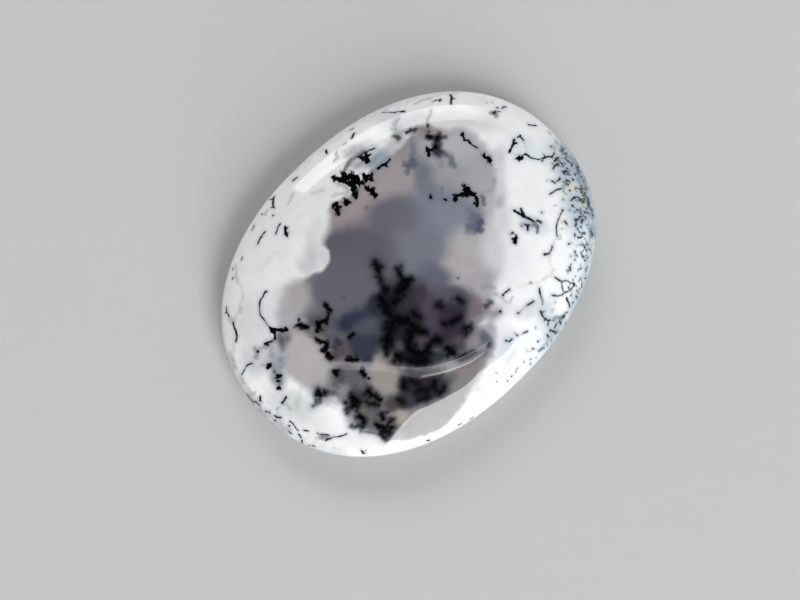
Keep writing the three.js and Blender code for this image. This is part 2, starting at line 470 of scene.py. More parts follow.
# %% Lay the clouds
def paint_clouds(clouds, limit):
    """Lays each cloud over the ground, inside the limit."""
    for x, y, radius, other_radius, turn, soft, colour in clouds:
        along = bent - (x, y)
        c, s = math.cos(math.radians(turn)), math.sin(math.radians(turn))
        u = (along[:, 0] * c + along[:, 1] * s) / radius
        v = (along[:, 1] * c - along[:, 0] * s) / other_radius
        mask = 1 - ease(1 - soft, 1 + soft, np.hypot(u, v))
        paint(ground, tone(*colour), mask * limit)


paint_clouds(CLOUDS_UPPER_WINDOW + CLOUDS_LOWER_WINDOW, window_mask)
paint_clouds(CLOUDS_IN_MILK, 1 - window_mask)
darkest = ground.mean(axis=1).min()
print(f"the ground's darkest place sends back {darkest:.1%} of the light")

# %% [markdown]
# ## Soft marks, deep in the stone
#
# Moss that lies deep shows through the milk as soft grey, blue or brown strokes. A noise texture
# could make such marks, but not where this stone has them. So they are brush strokes: a colour, how
# strongly it covers, how wide and how soft the line is, and its points. The tan veins, the shade
# around the deep moss and the painted shade along the rim are soft strokes as well. Later strokes
# lie over earlier ones, so the lists below are laid in their own order.

# %% The colours of the soft strokes
GREY = (120, 120, 126)
DARK = (58, 56, 62)
NIGHT = (34, 33, 38)
BLUE = (78, 88, 108)
NAVY = (44, 50, 70)
BROWN = (112, 96, 88)
SAND = (212, 194, 160)
OLIVE = (168, 162, 132)
RIM_SHADE_BLUE = (112, 132, 146)
print("the darkest soft stroke is", NIGHT, "and the palest is", SAND)

# %% Soft strokes along the top
# A soft stroke is its colour, its cover, its half width, its softness, and its points.
SOFT_TOP = [
    (GREY, 0.5, 0.05, 0.12, (-11.4, 8.05), (-11.7, 7.45), (-12.0, 6.95)),
    (GREY, 0.5, 0.08, 0.12, (-14.0, 6.4), (-14.3, 5.9)),
    (BROWN, 0.3, 0.05, 0.12, (-17.3, 0.85), (-17.2, -0.1), (-17.1, -0.9)),
    (DARK, 0.6, 0.05, 0.1, (-6.5, 12.85), (-6.1, 13.05)),
    (GREY, 0.8, 0.1, 0.16, (-7.1, 12.15), (-7.2, 11.85), (-7.0, 11.6), (-7.4, 11.3)),
    (GREY, 0.7, 0.14, 0.25, (-1.05, 15.4), (-1.4, 14.9), (-1.15, 14.3)),
    (DARK, 0.6, 0.2, 0.25, (-1.4, 13.7), (-1.1, 13.6), (-0.9, 13.4)),
    (GREY, 0.6, 0.3, 0.4, (-6.0, 11.9), (-5.3, 12.2), (-4.6, 12.3)),
    (BLUE, 0.8, 0.35, 0.6, (0.05, 10.9), (0.5, 11.0)), (BLUE, 0.7, 0.2, 0.3, (0.0, 10.6), (-0.1, 10.1)),
    (BLUE, 0.5, 0.2, 0.45, (0.4, 11.3), (0.5, 12.2), (0.5, 12.8)),
    (GREY, 0.7, 0.1, 0.2, (0.33, 13.5), (0.33, 13.4)),
    (GREY, 0.5, 0.05, 0.12, (0.6, 16.95), (1.7, 17.4), (2.3, 17.55)),
    (GREY, 0.6, 0.1, 0.12, (2.4, 17.2), (2.45, 17.2)),
    (DARK, 0.55, 0.08, 0.2, (2.25, 16.3), (2.1, 15.8), (1.95, 15.2)),
    (BROWN, 0.6, 0.18, 0.3, (1.0, 14.6), (1.7, 14.5), (1.9, 14.25)),
    (BLUE, 0.75, 0.25, 0.3, (2.8, 12.3), (3.3, 12.0), (4.1, 11.8), (4.5, 10.9)),
    (DARK, 0.5, 0.25, 0.35, (2.4, 11.9), (2.9, 12.0)),
    (DARK, 0.95, 0.28, 0.25, (2.1, 13.65), (2.7, 13.5), (3.1, 13.6)),
    (DARK, 0.95, 0.38, 0.3, (2.9, 13.3), (2.85, 12.8), (2.75, 12.4)),
    (DARK, 0.9, 0.14, 0.2, (3.15, 14.0), (3.2, 13.7), (3.8, 13.6)),
    (NAVY, 0.8, 0.35, 0.4, (2.8, 12.2), (3.3, 12.1)),
    (BROWN, 0.5, 0.2, 0.35, (1.3, 14.2), (2.2, 14.5), (2.9, 14.3)),
    (DARK, 0.6, 0.12, 0.2, (2.7, 12.9), (3.4, 12.85)), (GREY, 0.4, 0.3, 0.4, (2.7, 11.5), (3.3, 11.2)),
    (GREY, 0.4, 0.05, 0.12, (6.95, 12.55), (7.3, 12.05), (7.6, 11.85)),
    (GREY, 0.6, 0.06, 0.12, (7.9, 17.1), (7.95, 17.1)),
    (GREY, 0.6, 0.06, 0.12, (8.4, 17.15), (8.45, 17.15)),
    (NAVY, 0.75, 0.14, 0.2, (8.3, 16.1), (8.75, 16.0), (8.9, 15.75)),
    (NIGHT, 0.8, 0.12, 0.15, (8.6, 16.1), (8.8, 16.05)),
    (BROWN, 0.5, 0.1, 0.3, (14.75, 13.2), (14.9, 12.9)),
    (BROWN, 0.6, 0.05, 0.12, (14.0, 14.2), (14.3, 13.9)),
    (BLUE, 0.6, 0.12, 0.2, (15.4, 12.35), (15.6, 12.5)),
    (GREY, 0.6, 0.06, 0.12, (14.6, 12.0), (14.67, 12.5), (14.5, 12.85)),
    (NAVY, 0.45, 0.07, 0.12, (3.4, 8.6), (3.4, 8.2)), (GREY, 0.5, 0.1, 0.2, (3.2, 10.75), (3.3, 10.7)),
]
print(f"{len(SOFT_TOP)} soft strokes along the top")

# %% Soft strokes on the right
SOFT_RIGHT = [
    (NAVY, 0.75, 0.12, 0.22, (7.35, 7.8), (7.5, 7.4), (7.65, 6.9)),
    (GREY, 0.3, 0.1, 0.3, (7.3, 8.0), (8.0, 8.2), (8.6, 8.8)),
    (GREY, 0.6, 0.1, 0.15, (8.65, 9.35), (8.65, 9.2)),
    (NAVY, 0.85, 0.25, 0.45, (7.3, 5.2), (7.3, 4.8), (7.1, 4.3)),
    (BLUE, 0.8, 0.4, 0.5, (6.2, 4.5), (6.8, 4.9)), (BLUE, 0.55, 0.35, 0.6, (6.4, 5.9), (7.0, 5.5)),
    (GREY, 0.5, 0.1, 0.2, (13.9, 9.35), (13.95, 9.35)),
    (BLUE, 0.6, 0.1, 0.2, (15.5, 8.8), (15.6, 8.4), (15.8, 7.95)),
    (GREY, 0.6, 0.08, 0.15, (15.5, 5.15), (15.45, 5.1)),
    (GREY, 0.6, 0.08, 0.15, (15.4, 4.5), (15.45, 4.5)),
    (GREY, 0.6, 0.08, 0.15, (14.7, 6.8), (14.75, 6.8)),
    (NAVY, 0.7, 0.07, 0.15, (13.0, 4.8), (13.0, 4.0)), (BLUE, 0.5, 0.12, 0.2, (12.5, 4.9), (12.6, 4.9)),
    (GREY, 0.6, 0.1, 0.15, (10.2, 3.9), (10.25, 3.9)),
    (SAND, 0.5, 0.03, 0.2, (14.15, 1.8), (14.2, 1.0), (14.5, 0.3)),
    (SAND, 0.8, 0.05, 0.25, (14.5, 0.4), (14.35, -0.1), (14.0, -0.25), (13.6, -0.6)),
    (SAND, 0.6, 0.03, 0.2, (13.6, -0.6), (13.0, -0.9), (12.3, -0.95)),
    (SAND, 0.3, 0.05, 0.3, (12.3, -0.95), (11.6, -1.25), (11.1, -1.3)),
]
print(f"{len(SOFT_RIGHT)} soft strokes on the right")

# %% Soft strokes on the left and below
SOFT_LEFT = [
    (OLIVE, 0.3, 0.04, 0.25, (-17.1, 0.9), (-17.1, -0.1), (-16.8, -1.2), (-16.5, -2.2)),
    (OLIVE, 0.5, 0.05, 0.3, (-16.5, -2.2), (-16.6, -2.8), (-16.8, -3.5), (-17.2, -4.3), (-17.5, -4.9)),
    (OLIVE, 0.4, 0.1, 0.3, (-16.6, -3.6), (-16.7, -3.8)),
    (OLIVE, 0.35, 0.04, 0.25, (-17.4, -6.2), (-17.5, -7.4), (-17.5, -8.5)),
    (OLIVE, 0.6, 0.08, 0.3, (-17.45, -8.6), (-17.3, -9.4)),
    (OLIVE, 0.6, 0.06, 0.25, (-16.7, -10.4), (-16.5, -10.9)),
    (SAND, 0.25, 0.04, 0.3, (-14.8, 0.4), (-13.9, 1.4), (-12.9, 2.2)),
    (SAND, 0.25, 0.05, 0.3, (-16.0, -2.6), (-16.1, -3.2)),
    (DARK, 0.7, 0.2, 0.4, (-12.8, -6.0), (-12.8, -6.6)),
    (NAVY, 0.55, 0.18, 0.3, (-12.7, -6.9), (-12.5, -7.6)),
    (BLUE, 0.4, 0.2, 0.5, (-12.5, -8.4), (-12.6, -9.3)),
    (BLUE, 0.4, 0.15, 0.4, (-13.6, -7.5), (-13.8, -8.3)),
    (DARK, 0.5, 0.12, 0.35, (-13.4, -6.7), (-14.0, -7.1), (-14.6, -7.4)),
    (DARK, 0.45, 0.2, 0.4, (2.6, -7.2), (3.3, -7.5)),
    (GREY, 0.7, 0.14, 0.25, (-15.3, -7.4), (-15.0, -7.8), (-15.2, -8.4)),
    (GREY, 0.5, 0.06, 0.2, (-14.6, -9.2), (-14.1, -9.3)),
    (GREY, 0.6, 0.1, 0.25, (-13.5, -9.4), (-13.2, -10.0), (-12.9, -10.4)),
    (DARK, 0.5, 0.12, 0.25, (-12.9, -10.4), (-12.9, -11.4)),
    (GREY, 0.4, 0.06, 0.2, (-12.5, -12.9), (-12.0, -13.2), (-11.7, -13.7)),
    (GREY, 0.2, 0.06, 0.4, (-10.7, -11.3), (-10.9, -12.3), (-11.2, -13.4)),
    (GREY, 0.4, 0.05, 0.2, (-13.0, -13.3), (-13.1, -14.2)),
    (GREY, 0.6, 0.06, 0.2, (-8.6, -16.1), (-8.1, -16.4), (-7.9, -16.5)),
]
print(f"{len(SOFT_LEFT)} soft strokes on the left and below")

# %% Finer soft strokes, most of them on the right
SOFT_FINER = [
    (BLUE, 0.6, 0.2, 0.25, (12.6, 4.9), (12.9, 4.75)),
    (NAVY, 0.7, 0.08, 0.15, (12.95, 4.7), (13.0, 4.05)),
    (GREY, 0.4, 0.1, 0.25, (11.4, 4.9), (12.1, 4.8)), (GREY, 0.35, 0.05, 0.2, (14.6, 3.3), (14.5, 2.8)),
    (GREY, 0.4, 0.05, 0.15, (15.2, 3.9), (15.3, 3.5), (15.0, 3.5)),
    (GREY, 0.3, 0.05, 0.15, (10.1, 12.2), (10.7, 11.9), (11.4, 11.8)),
    (GREY, 0.3, 0.05, 0.15, (11.5, 13.3), (11.8, 12.7), (11.8, 12.0)),
    (GREY, 0.4, 0.06, 0.2, (9.9, -2.9), (9.3, -2.3)),
    (GREY, 0.5, 0.05, 0.15, (10.5, -5.9), (11.0, -6.2), (11.6, -5.9)),
    (GREY, 0.4, 0.05, 0.15, (13.6, -4.4), (14.1, -4.8), (14.0, -5.3)),
    (BLUE, 0.5, 0.08, 0.2, (14.6, -4.7), (15.1, -4.4), (15.6, -4.3)),
    (BLUE, 0.5, 0.08, 0.2, (15.3, -4.4), (15.3, -5.1)),
    (BLUE, 0.5, 0.06, 0.2, (14.2, -5.6), (14.8, -5.8), (15.1, -5.8)),
    (BLUE, 0.45, 0.06, 0.2, (13.6, -7.2), (14.2, -6.4)),
    (BLUE, 0.5, 0.06, 0.2, (13.0, -7.7), (13.5, -7.5)),
    (DARK, 0.85, 0.1, 0.22, (-6.5, 10.1), (-6.1, 10.8), (-5.6, 11.4), (-5.0, 11.75), (-4.2, 12.2)),
    (GREY, 0.6, 0.2, 0.35, (-6.3, 10.4), (-5.9, 10.9)),
    (BROWN, 0.4, 0.05, 0.2, (-7.6, 7.7), (-7.0, 8.0), (-6.4, 8.0)),
    (BROWN, 0.7, 0.12, 0.15, (12.3, -0.9), (12.25, -0.95)),
    (DARK, 0.75, 0.06, 0.12, (13.3, -2.3), (13.47, -2.6), (13.4, -3.1)),
    (BLUE, 0.6, 0.08, 0.15, (14.5, -4.5), (14.9, -4.35), (15.2, -4.3), (15.7, -4.3)),
    (BLUE, 0.6, 0.06, 0.15, (15.2, -4.4), (15.2, -5.1)),
    (GREY, 0.5, 0.06, 0.15, (11.7, -7.4), (12.0, -7.8), (12.7, -7.6)),
    (BLUE, 0.5, 0.05, 0.12, (10.47, -2.3), (10.17, -2.9)),
    (GREY, 0.7, 0.05, 0.12, (11.1, -3.9), (11.67, -3.35), (12.0, -3.1), (12.6, -2.65)),
    (NAVY, 0.85, 0.2, 0.35, (7.7, -3.2), (8.0, -3.1), (8.4, -2.9)),
    (GREY, 0.4, 0.12, 0.3, (8.1, -3.9), (8.6, -4.0), (9.2, -3.85)),
    (GREY, 0.5, 0.1, 0.2, (8.8, -2.05), (8.85, -2.1)),
    (GREY, 0.4, 0.12, 0.3, (7.4, -1.4), (8.2, -1.3), (8.6, -1.5)),
    (GREY, 0.4, 0.15, 0.4, (-17.8, -4.5), (-17.6, -4.8)),
]
print(f"{len(SOFT_FINER)} soft strokes are finer")

# %% Brown dots and broad shade in the window
SOFT_SHADE = [
    (BROWN, 0.8, 0.1, 0.12, (-4.15, 6.65), (-4.1, 6.65)),
    (DARK, 0.9, 0.13, 0.12, (5.07, -0.5), (5.08, -0.48)),
    (BROWN, 0.5, 0.15, 0.4, (-6.8, 8.9), (-6.3, 8.6), (-6.0, 8.1)),
    (NIGHT, 0.75, 0.2, 0.5, (0.3, -1.1), (0.4, -2.0), (0.4, -3.0), (0.5, -3.8)),
    (NIGHT, 0.35, 0.9, 0.9, (-1.6, -2.2), (-1.3, -4.4), (-1.2, -6.6), (-1.3, -8.2)),
    (NIGHT, 0.35, 0.6, 0.8, (0.4, -6.4), (1.8, -7.4), (3.6, -7.3), (4.9, -7.6)),
    (NIGHT, 0.25, 0.6, 0.8, (-4.6, -12.2), (-3.6, -13.4), (-3.0, -14.4)),
    (NIGHT, 0.6, 0.35, 0.6, (-0.4, -9.9), (1.2, -10.1), (3.0, -9.8)),
]
print(f"{len(SOFT_SHADE)} soft strokes are dots and shade")

# %% Soft strokes of painted shade along the rim
# Painted shade: the rim is darker blue grey on the right and grey at the lower left, as if in shadow
# there.
SOFT_RIM_SHADE = [
    (RIM_SHADE_BLUE, 0.8, 0.15, 0.5, (17.95, 7.6), (18.25, 6.2), (18.45, 4.9), (18.5, 3.7)),
    (RIM_SHADE_BLUE, 0.75, 0.15, 0.5, (16.4, 11.4), (17.2, 9.9), (17.9, 8.3)),
    (RIM_SHADE_BLUE, 0.45, 0.15, 0.6, (18.4, 3.9), (18.2, 1.6), (17.8, 0.0)),
    (RIM_SHADE_BLUE, 0.3, 0.1, 0.5, (15.1, -5.5), (13.5, -7.8), (11.6, -9.8)),
    (GREY, 0.3, 0.25, 0.6, (-17.9, -8.3), (-16.9, -10.6), (-15.8, -12.3)),
    (GREY, 0.55, 0.25, 0.7, (-15.8, -12.3), (-14.2, -14.1), (-12.3, -15.7)),
    (GREY, 0.25, 0.25, 0.7, (-12.3, -15.7), (-9.9, -17.1), (-6.5, -18.0)),
    (RIM_SHADE_BLUE, 0.3, 0.1, 0.4, (-12.0, 9.7), (-9.0, 12.3), (-5.5, 14.9), (-2.0, 16.6)),
    (RIM_SHADE_BLUE, 0.3, 0.1, 0.4, (-2.0, 16.6), (1.5, 17.7), (4.9, 18.1)),
]
print(f"{len(SOFT_RIM_SHADE)} soft strokes along the rim")

# %% Soft strokes around the deep moss
SOFT_DEEP = [
    (NIGHT, 0.6, 0.35, 0.6, (-2.3, -1.8), (-2.3, -2.8), (-1.9, -3.8)),
    (NIGHT, 0.35, 0.35, 0.6, (-0.9, -2.1), (-1.3, -3.0), (-1.5, -4.0)),
    (NIGHT, 0.7, 0.5, 0.7, (-0.8, -5.2), (0.2, -5.4)),
    (NIGHT, 0.6, 0.3, 0.5, (-1.0, -8.9), (0.5, -9.3), (2.2, -8.8)),
    (NIGHT, 0.6, 0.3, 0.6, (-0.5, -10.6), (-0.6, -12.0), (0.4, -12.8)),
    (NIGHT, 0.5, 0.3, 0.6, (0.9, -12.1), (2.4, -11.9), (3.6, -11.8)),
    (NIGHT, 0.5, 0.15, 0.4, (-10.3, -5.7), (-9.6, -6.1), (-9.2, -6.3)),
    (DARK, 0.5, 0.15, 0.4, (-7.9, -11.9), (-7.3, -12.0)),
    (NAVY, 0.6, 0.15, 0.4, (-4.6, -8.6), (-3.7, -8.5)),
    (DARK, 0.35, 0.25, 0.5, (-4.9, 10.6), (-4.1, 10.9)),
    (GREY, 0.5, 0.3, 0.5, (-1.3, 14.3), (-0.7, 14.2)), (DARK, 0.5, 0.12, 0.3, (0.0, 14.1), (0.8, 14.4)),
    (DARK, 0.45, 0.15, 0.3, (-6.5, -2.4), (-6.45, -2.5)),
    (NAVY, 0.85, 0.2, 0.25, (-7.15, -6.65), (-6.9, -6.95)),
    (NAVY, 0.8, 0.12, 0.2, (-7.3, -7.3), (-7.2, -7.5)),
    (DARK, 0.7, 0.35, 0.4, (-3.3, -2.7), (-3.4, -3.3)),
    (DARK, 0.5, 0.15, 0.4, (-6.7, -10.0), (-6.6, -10.8)),
    (DARK, 0.5, 0.15, 0.3, (-7.3, -11.2), (-7.0, -11.4)),
    (DARK, 0.5, 0.12, 0.3, (-8.0, -11.9), (-7.4, -11.9)),
    (GREY, 0.6, 0.2, 0.3, (-8.5, -12.0), (-8.2, -12.1)),
    (DARK, 0.55, 0.15, 0.3, (-2.1, -13.3), (-1.9, -13.45)),
    (GREY, 0.4, 0.05, 0.12, (-7.5, -17.4), (-7.45, -17.45)),
    (GREY, 0.3, 0.05, 0.12, (-7.0, -17.7), (-6.95, -17.7)),
    (GREY, 0.6, 0.06, 0.15, (-9.5, -13.3), (-9.45, -13.3)),
    (GREY, 0.5, 0.08, 0.12, (-14.9, -13.2), (-14.7, -13.75)),
    (GREY, 0.5, 0.08, 0.12, (-13.1, -13.5), (-13.05, -13.5)),
    (GREY, 0.35, 0.08, 0.3, (-9.6, 8.0), (-8.9, 8.25), (-8.5, 8.3)),
    (NIGHT, 0.8, 0.16, 0.2, (8.0, -7.0), (8.0, -7.2)),
    (GREY, 0.5, 0.05, 0.12, (7.2, -7.3), (7.7, -6.9), (8.1, -6.6)),
    (DARK, 0.6, 0.2, 0.3, (4.3, -2.6), (4.1, -2.9)),
    (DARK, 0.6, 0.3, 0.4, (0.3, -2.0), (0.35, -2.8), (0.3, -3.5)),
    (DARK, 0.5, 0.4, 0.5, (-0.4, -2.3), (-0.4, -3.2), (-0.3, -4.0)),
    (NAVY, 0.6, 0.3, 0.5, (-3.5, -2.9), (-2.9, -3.1)),
    (DARK, 0.6, 0.3, 0.4, (-5.6, -12.3), (-5.0, -12.9)),
    (DARK, 0.6, 0.3, 0.35, (-4.1, -11.4), (-3.7, -12.0)),
    (DARK, 0.6, 0.5, 0.5, (-0.6, -12.6), (0.2, -13.1)),
    (DARK, 0.5, 0.4, 0.5, (3.0, -10.4), (3.3, -11.2)),
    (DARK, 0.6, 0.4, 0.4, (-1.4, -15.0), (-1.8, -15.9)),
    (NIGHT, 0.6, 0.2, 0.4, (-0.5, -13.3), (0.4, -13.4)),
    (NIGHT, 0.7, 0.15, 0.3, (2.2, -12.4), (3.2, -12.1)),
    (DARK, 0.6, 0.12, 0.3, (-7.8, -8.3), (-7.7, -8.8)),
    (GREY, 0.5, 0.25, 0.5, (-8.8, -12.5), (-7.2, -13.0)),
    (NAVY, 0.6, 0.25, 0.5, (-4.1, -8.5), (-3.7, -8.6)),
    (DARK, 0.5, 0.2, 0.4, (-4.2, -10.9), (-3.8, -11.5)),
]
print(f"{len(SOFT_DEEP)} soft strokes around the deep moss")

# %% Lay the soft strokes
LIGHT_BEND = 0.08
FRAY_LUMPS = 0.45
FRAY = 0.7

soft_strokes = SOFT_TOP + SOFT_RIGHT + SOFT_LEFT + SOFT_FINER + SOFT_SHADE + SOFT_RIM_SHADE + SOFT_DEEP
upper = points[:, 2] > GIRDLE_LOW
lightly_bent = (points_drawn + fine_bend * LIGHT_BEND)[upper]
frayed_bend = noise_at(points[upper], FRAY_LUMPS, 3)[:, :2]
upper_ground = ground[upper]
for colour, cover, half_width, soft, *line in soft_strokes:
    gap = distance_to_line(lightly_bent + frayed_bend * soft * FRAY, line)[0]
    mask = 1 - ease(half_width - soft / 2, half_width + soft, gap)
    paint(upper_ground, tone(*colour), mask * cover)
ground[upper] = upper_ground
print(f"{len(soft_strokes)} soft strokes in all")

# %% [markdown]
# ## The black moss
#
# The moss near the surface is black and crisp. Branches could be grown by a rule, as they are on
# the back further on, but no rule would make the pattern of this stone. So these lists follow it
# cluster by cluster. A stroke is its half width in millimetres and its points. A single point is
# a dot.

# %% Moss along the upper left
MOSS_UPPER_LEFT = [
    (0.1, (-11.5, 9.3), (-11.1, 9.6)), (0.11, (-13.4, 7.7), (-13.5, 7.1), (-13.5, 6.7)),
    (0.06, (-13.8, 7.4), (-13.45, 7.4)), (0.07, (-13.5, 6.75), (-13.68, 6.55)),
    (0.07, (-13.5, 6.75), (-13.38, 6.58)), (0.09, (-14.6, 5.95)), (0.09, (-13.5, 5.8)),
    (0.06, (-15.4, 4.8), (-15.6, 4.3)), (0.09, (-14.3, 4.2), (-14.5, 3.95)),
    (0.09, (-14.6, 3.8), (-14.8, 3.5)), (0.07, (-14.85, 3.4), (-15.05, 2.9)),
    (0.08, (-12.8, 4.95), (-13.0, 4.65), (-13.1, 4.3), (-13.2, 4.0)),
    (0.13, (-12.27, 4.65), (-12.27, 4.1), (-12.1, 3.7)), (0.05, (-16.55, 1.65), (-16.67, 1.4)),
    (0.09, (-17.53, 0.48)), (0.09, (-17.52, -0.47)), (0.05, (-5.9, 14.3), (-5.5, 14.5)),
    (0.11, (-5.4, 14.05), (-5.6, 13.5)), (0.12, (-8.2, 12.3), (-8.1, 12.0)),
    (0.05, (-2.6, 16.1), (-1.3, 16.1), (-1.07, 16.2)), (0.1, (-0.7, 16.2), (-0.35, 16.2)),
    (0.03, (-5.0, 11.65), (-4.5, 12.0), (-4.0, 12.2)), (0.09, (-3.9, 12.3), (-3.6, 12.4)),
    (0.06, (-3.6, 12.4), (-3.3, 12.55)), (0.27, (-4.55, 11.6), (-4.2, 11.6), (-4.1, 11.25)),
    (0.12, (-3.0, 10.5), (-2.6, 10.8), (-2.25, 11.0), (-1.85, 11.35)),
    (0.08, (-2.4, 10.9), (-2.1, 10.7)), (0.18, (-7.5, 9.6), (-7.05, 9.5), (-6.6, 9.45)),
    (0.32, (-6.4, 9.55), (-5.9, 9.65), (-5.4, 9.75)), (0.2, (-6.8, 9.3), (-6.2, 9.2)),
    (0.14, (-6.4, 10.05), (-6.2, 9.8)), (0.34, (-5.3, 9.65), (-5.1, 9.4), (-5.3, 9.1)),
    (0.32, (-5.5, 9.0), (-5.4, 8.7), (-5.45, 8.4)), (0.13, (-5.1, 9.0), (-4.5, 9.0)),
    (0.18, (-5.45, 8.15), (-5.3, 7.9), (-5.2, 7.65)), (0.18, (-4.5, 9.9), (-4.3, 9.6), (-4.15, 9.35)),
    (0.16, (-4.2, 9.7), (-3.8, 9.75), (-3.6, 10.0)), (0.14, (-3.9, 9.5), (-3.6, 9.4)),
    (0.13, (-4.25, 8.6), (-3.95, 8.5)), (0.19, (-3.9, 8.4), (-3.6, 8.25), (-3.5, 7.95), (-3.25, 7.8)),
    (0.07, (-3.5, 8.3), (-3.3, 8.6)), (0.13, (-7.5, 6.85), (-7.5, 6.6)),
    (0.2, (-7.15, 6.95), (-7.1, 6.6), (-7.1, 6.25), (-7.0, 6.0)), (0.09, (-7.1, 6.6), (-6.7, 6.7)),
    (0.22, (-6.15, 7.3), (-6.1, 7.0)), (0.09, (-6.1, 7.1), (-5.75, 7.1)),
]
print(f"{len(MOSS_UPPER_LEFT)} strokes along the upper left")

# %% Moss along the top
MOSS_TOP = [
    (0.09, (2.7, 17.3), (3.3, 17.4)), (0.06, (3.2, 17.35), (3.2, 17.2)),
    (0.09, (4.2, 17.9), (4.37, 17.65), (4.3, 17.4), (4.33, 16.9)), (0.06, (4.4, 17.55), (4.7, 17.45)),
    (0.15, (1.95, 14.85), (2.0, 14.7)), (0.14, (-0.15, 14.15), (0.27, 14.3), (0.75, 14.45)),
    (0.15, (1.9, 12.5), (2.0, 12.2), (2.1, 11.8)), (0.1, (1.9, 12.5), (2.4, 12.35)),
    (0.11, (5.5, 14.1), (5.5, 13.8), (5.65, 13.4)), (0.07, (5.5, 13.85), (5.27, 13.85)),
    (0.12, (5.65, 13.35), (6.0, 13.3), (6.2, 13.05)), (0.07, (6.2, 13.05), (6.5, 12.8), (6.95, 12.55)),
    (0.14, (7.6, 11.85), (7.7, 11.6), (8.0, 11.6)), (0.13, (8.0, 11.6), (8.3, 11.3), (8.2, 11.1)),
    (0.1, (8.93, 16.6)), (0.08, (9.13, 16.2)), (0.13, (8.7, 16.2), (8.6, 16.1)),
    (0.07, (9.4, 16.5), (9.6, 16.7), (9.8, 16.65)), (0.07, (12.0, 14.9), (12.25, 14.85), (12.8, 14.8)),
    (0.1, (10.6, 13.4), (10.5, 12.9), (10.3, 12.5), (10.13, 12.15)),
    (0.07, (10.5, 13.0), (10.87, 13.05)), (0.08, (11.23, 13.8), (11.35, 13.55), (11.53, 13.35)),
    (0.07, (11.0, 13.65), (11.2, 13.65)), (0.19, (11.0, 11.5), (11.1, 11.45)), (0.17, (11.35, 11.55)),
    (0.08, (11.6, 11.85), (11.8, 11.95), (12.0, 11.78)), (0.12, (12.03, 11.75)),
    (0.06, (12.03, 11.7), (12.5, 11.5), (13.07, 11.4), (13.7, 11.6)),
    (0.06, (13.65, 11.6), (13.6, 11.9)), (0.1, (13.7, 11.6), (14.07, 11.7)),
    (0.06, (14.07, 11.7), (14.4, 11.6), (14.6, 12.0)), (0.17, (2.25, 7.6)),
    (0.09, (3.62, 7.42), (3.8, 7.33)), (0.2, (4.75, 7.35), (4.72, 7.6)),
    (0.15, (4.8, 7.8), (5.3, 7.88), (5.8, 7.98), (6.3, 7.92), (6.6, 7.8)),
    (0.24, (5.65, 8.5), (6.0, 8.5)), (0.24, (5.75, 8.2), (6.1, 8.1)), (0.06, (5.55, 8.6), (5.4, 8.85)),
    (0.14, (6.3, 8.1), (6.7, 7.85), (6.95, 7.5)), (0.12, (6.95, 7.5), (6.97, 7.1), (6.93, 6.75)),
    (0.13, (6.7, 7.05), (6.9, 6.9)),
]
print(f"{len(MOSS_TOP)} strokes along the top")

